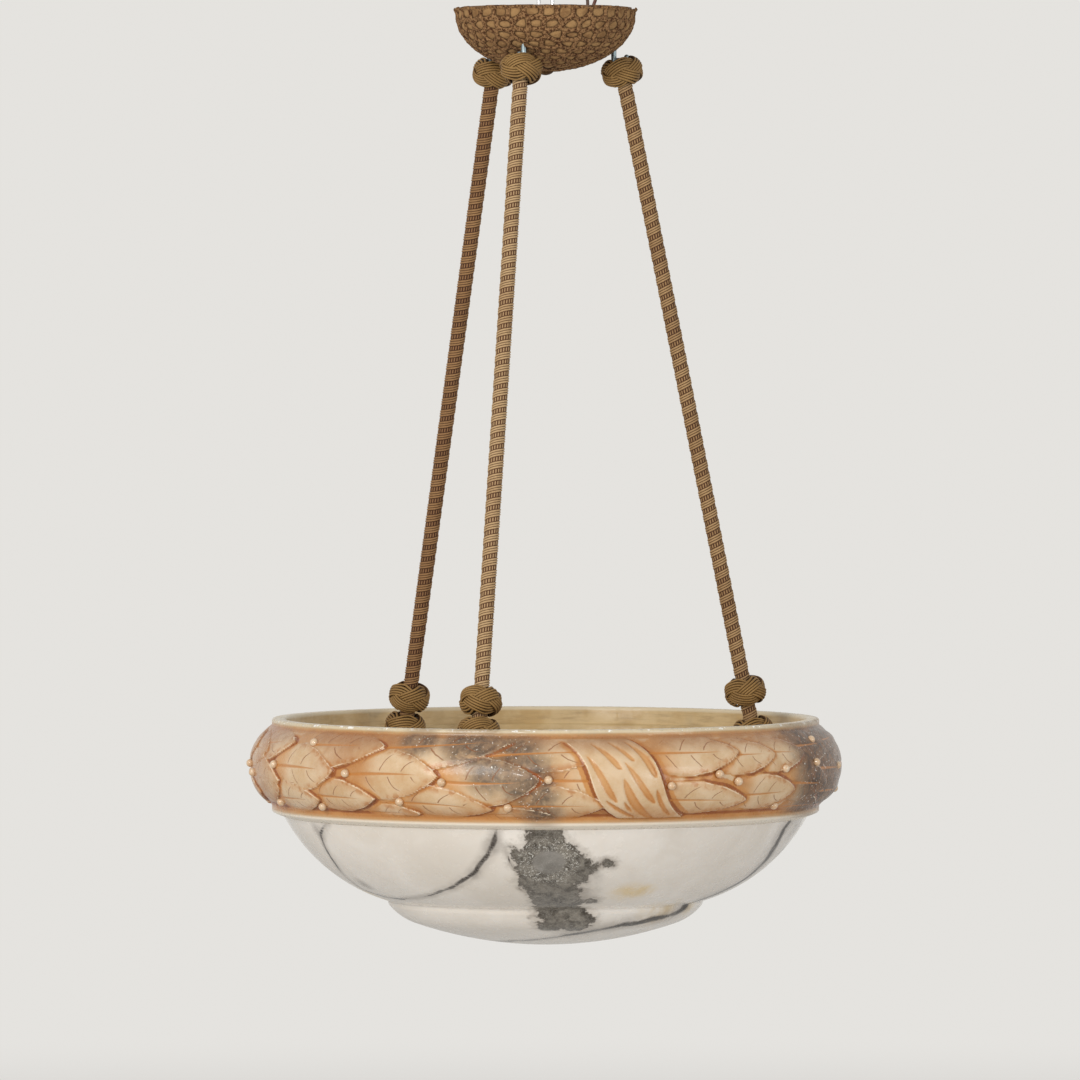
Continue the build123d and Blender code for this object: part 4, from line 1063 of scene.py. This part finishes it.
# The patch: dark crystals, darker at its ragged edge, round a smooth grey core in a ring of frosty splinters.
core_middle = (0.0024, -0.1835, -0.669)
crystal = speckle(place, 110.0, 6.0, 0.72, 1.0)
dark_tone = blend(span(crystal, 0.32, 0.66), tint(68, 61, 52), tint(134, 127, 116))
dark_tone = blend(span(ragged, 5.0, 0.5, 0.0, 0.6), dark_tone, tint(64, 54, 44))
core = zone(place, core_middle, 0.0105, 0.0145)
core_tone = blend(span(wild, 0.35, 0.65), tint(122, 117, 110), tint(150, 145, 138))
dark_tone = blend(times(core, 0.9), dark_tone, core_tone)
shell = times(zone(place, core_middle, 0.020, 0.027), calc("SUBTRACT", 1.0, core))
frost = span(speckle(place, 330.0, 4.0, 0.75, 2.5), 0.54, 0.6)
frost = times(frost, span(shell, 0.0, 1.0, 0.15, 0.9))
dark_tone = blend(frost, dark_tone, tint(222, 218, 208))
link(blend(patch, white, dark_tone), shader["Base Color"])
link(span(fine, 0.3, 0.75, 0.16, 0.32), shader["Roughness"])
relief(shader, plus(times(fine, 0.2), times(frost, patch)), 0.25, 0.0006)
piece("bowl_body", mesh, polished, "bowl", "alabaster", "alabaster_bowl")

# Lamp fittings: brass screw eyes in the band clamp the arms of a brass spider, and its hub holds three
# porcelain lampholders with frosted globe lamps on rolled screw caps. The bowl hides them all from below.
dress(brass, "lamp_spider", "lamp_hub", "hub_nipple", "hub_nut", "holder_nipples", "socket_contacts",
      *[f"lug_eye_{side}" for side in sides])
lamps = (1, 2, 3)
lamp_cap = mottled("lamp_cap", 0.3, (tint(214, 212, 206), tint(170, 164, 154)), (180.0, 4.0), (0.4, 0.7),
                   (700.0, 3.0, 0.15, 0.0003), Metallic=1.0)
opal_glass = mottled("opal_glass", 0.18, (tint(246, 244, 238), tint(236, 233, 226)), (40.0, 2.0), (0.3, 0.7),
                     (60.0, 1.0, 0.05, 0.0006), Coat_Weight=0.5, Subsurface_Weight=0.3,
                     Subsurface_Radius=(0.01, 0.01, 0.01))
dress(porcelain, *[f"lampholder_{number}" for number in lamps])
dress(lamp_cap, *[f"bulb_cap_{number}" for number in lamps])
dress(opal_glass, *[f"bulb_glass_{number}" for number in lamps])
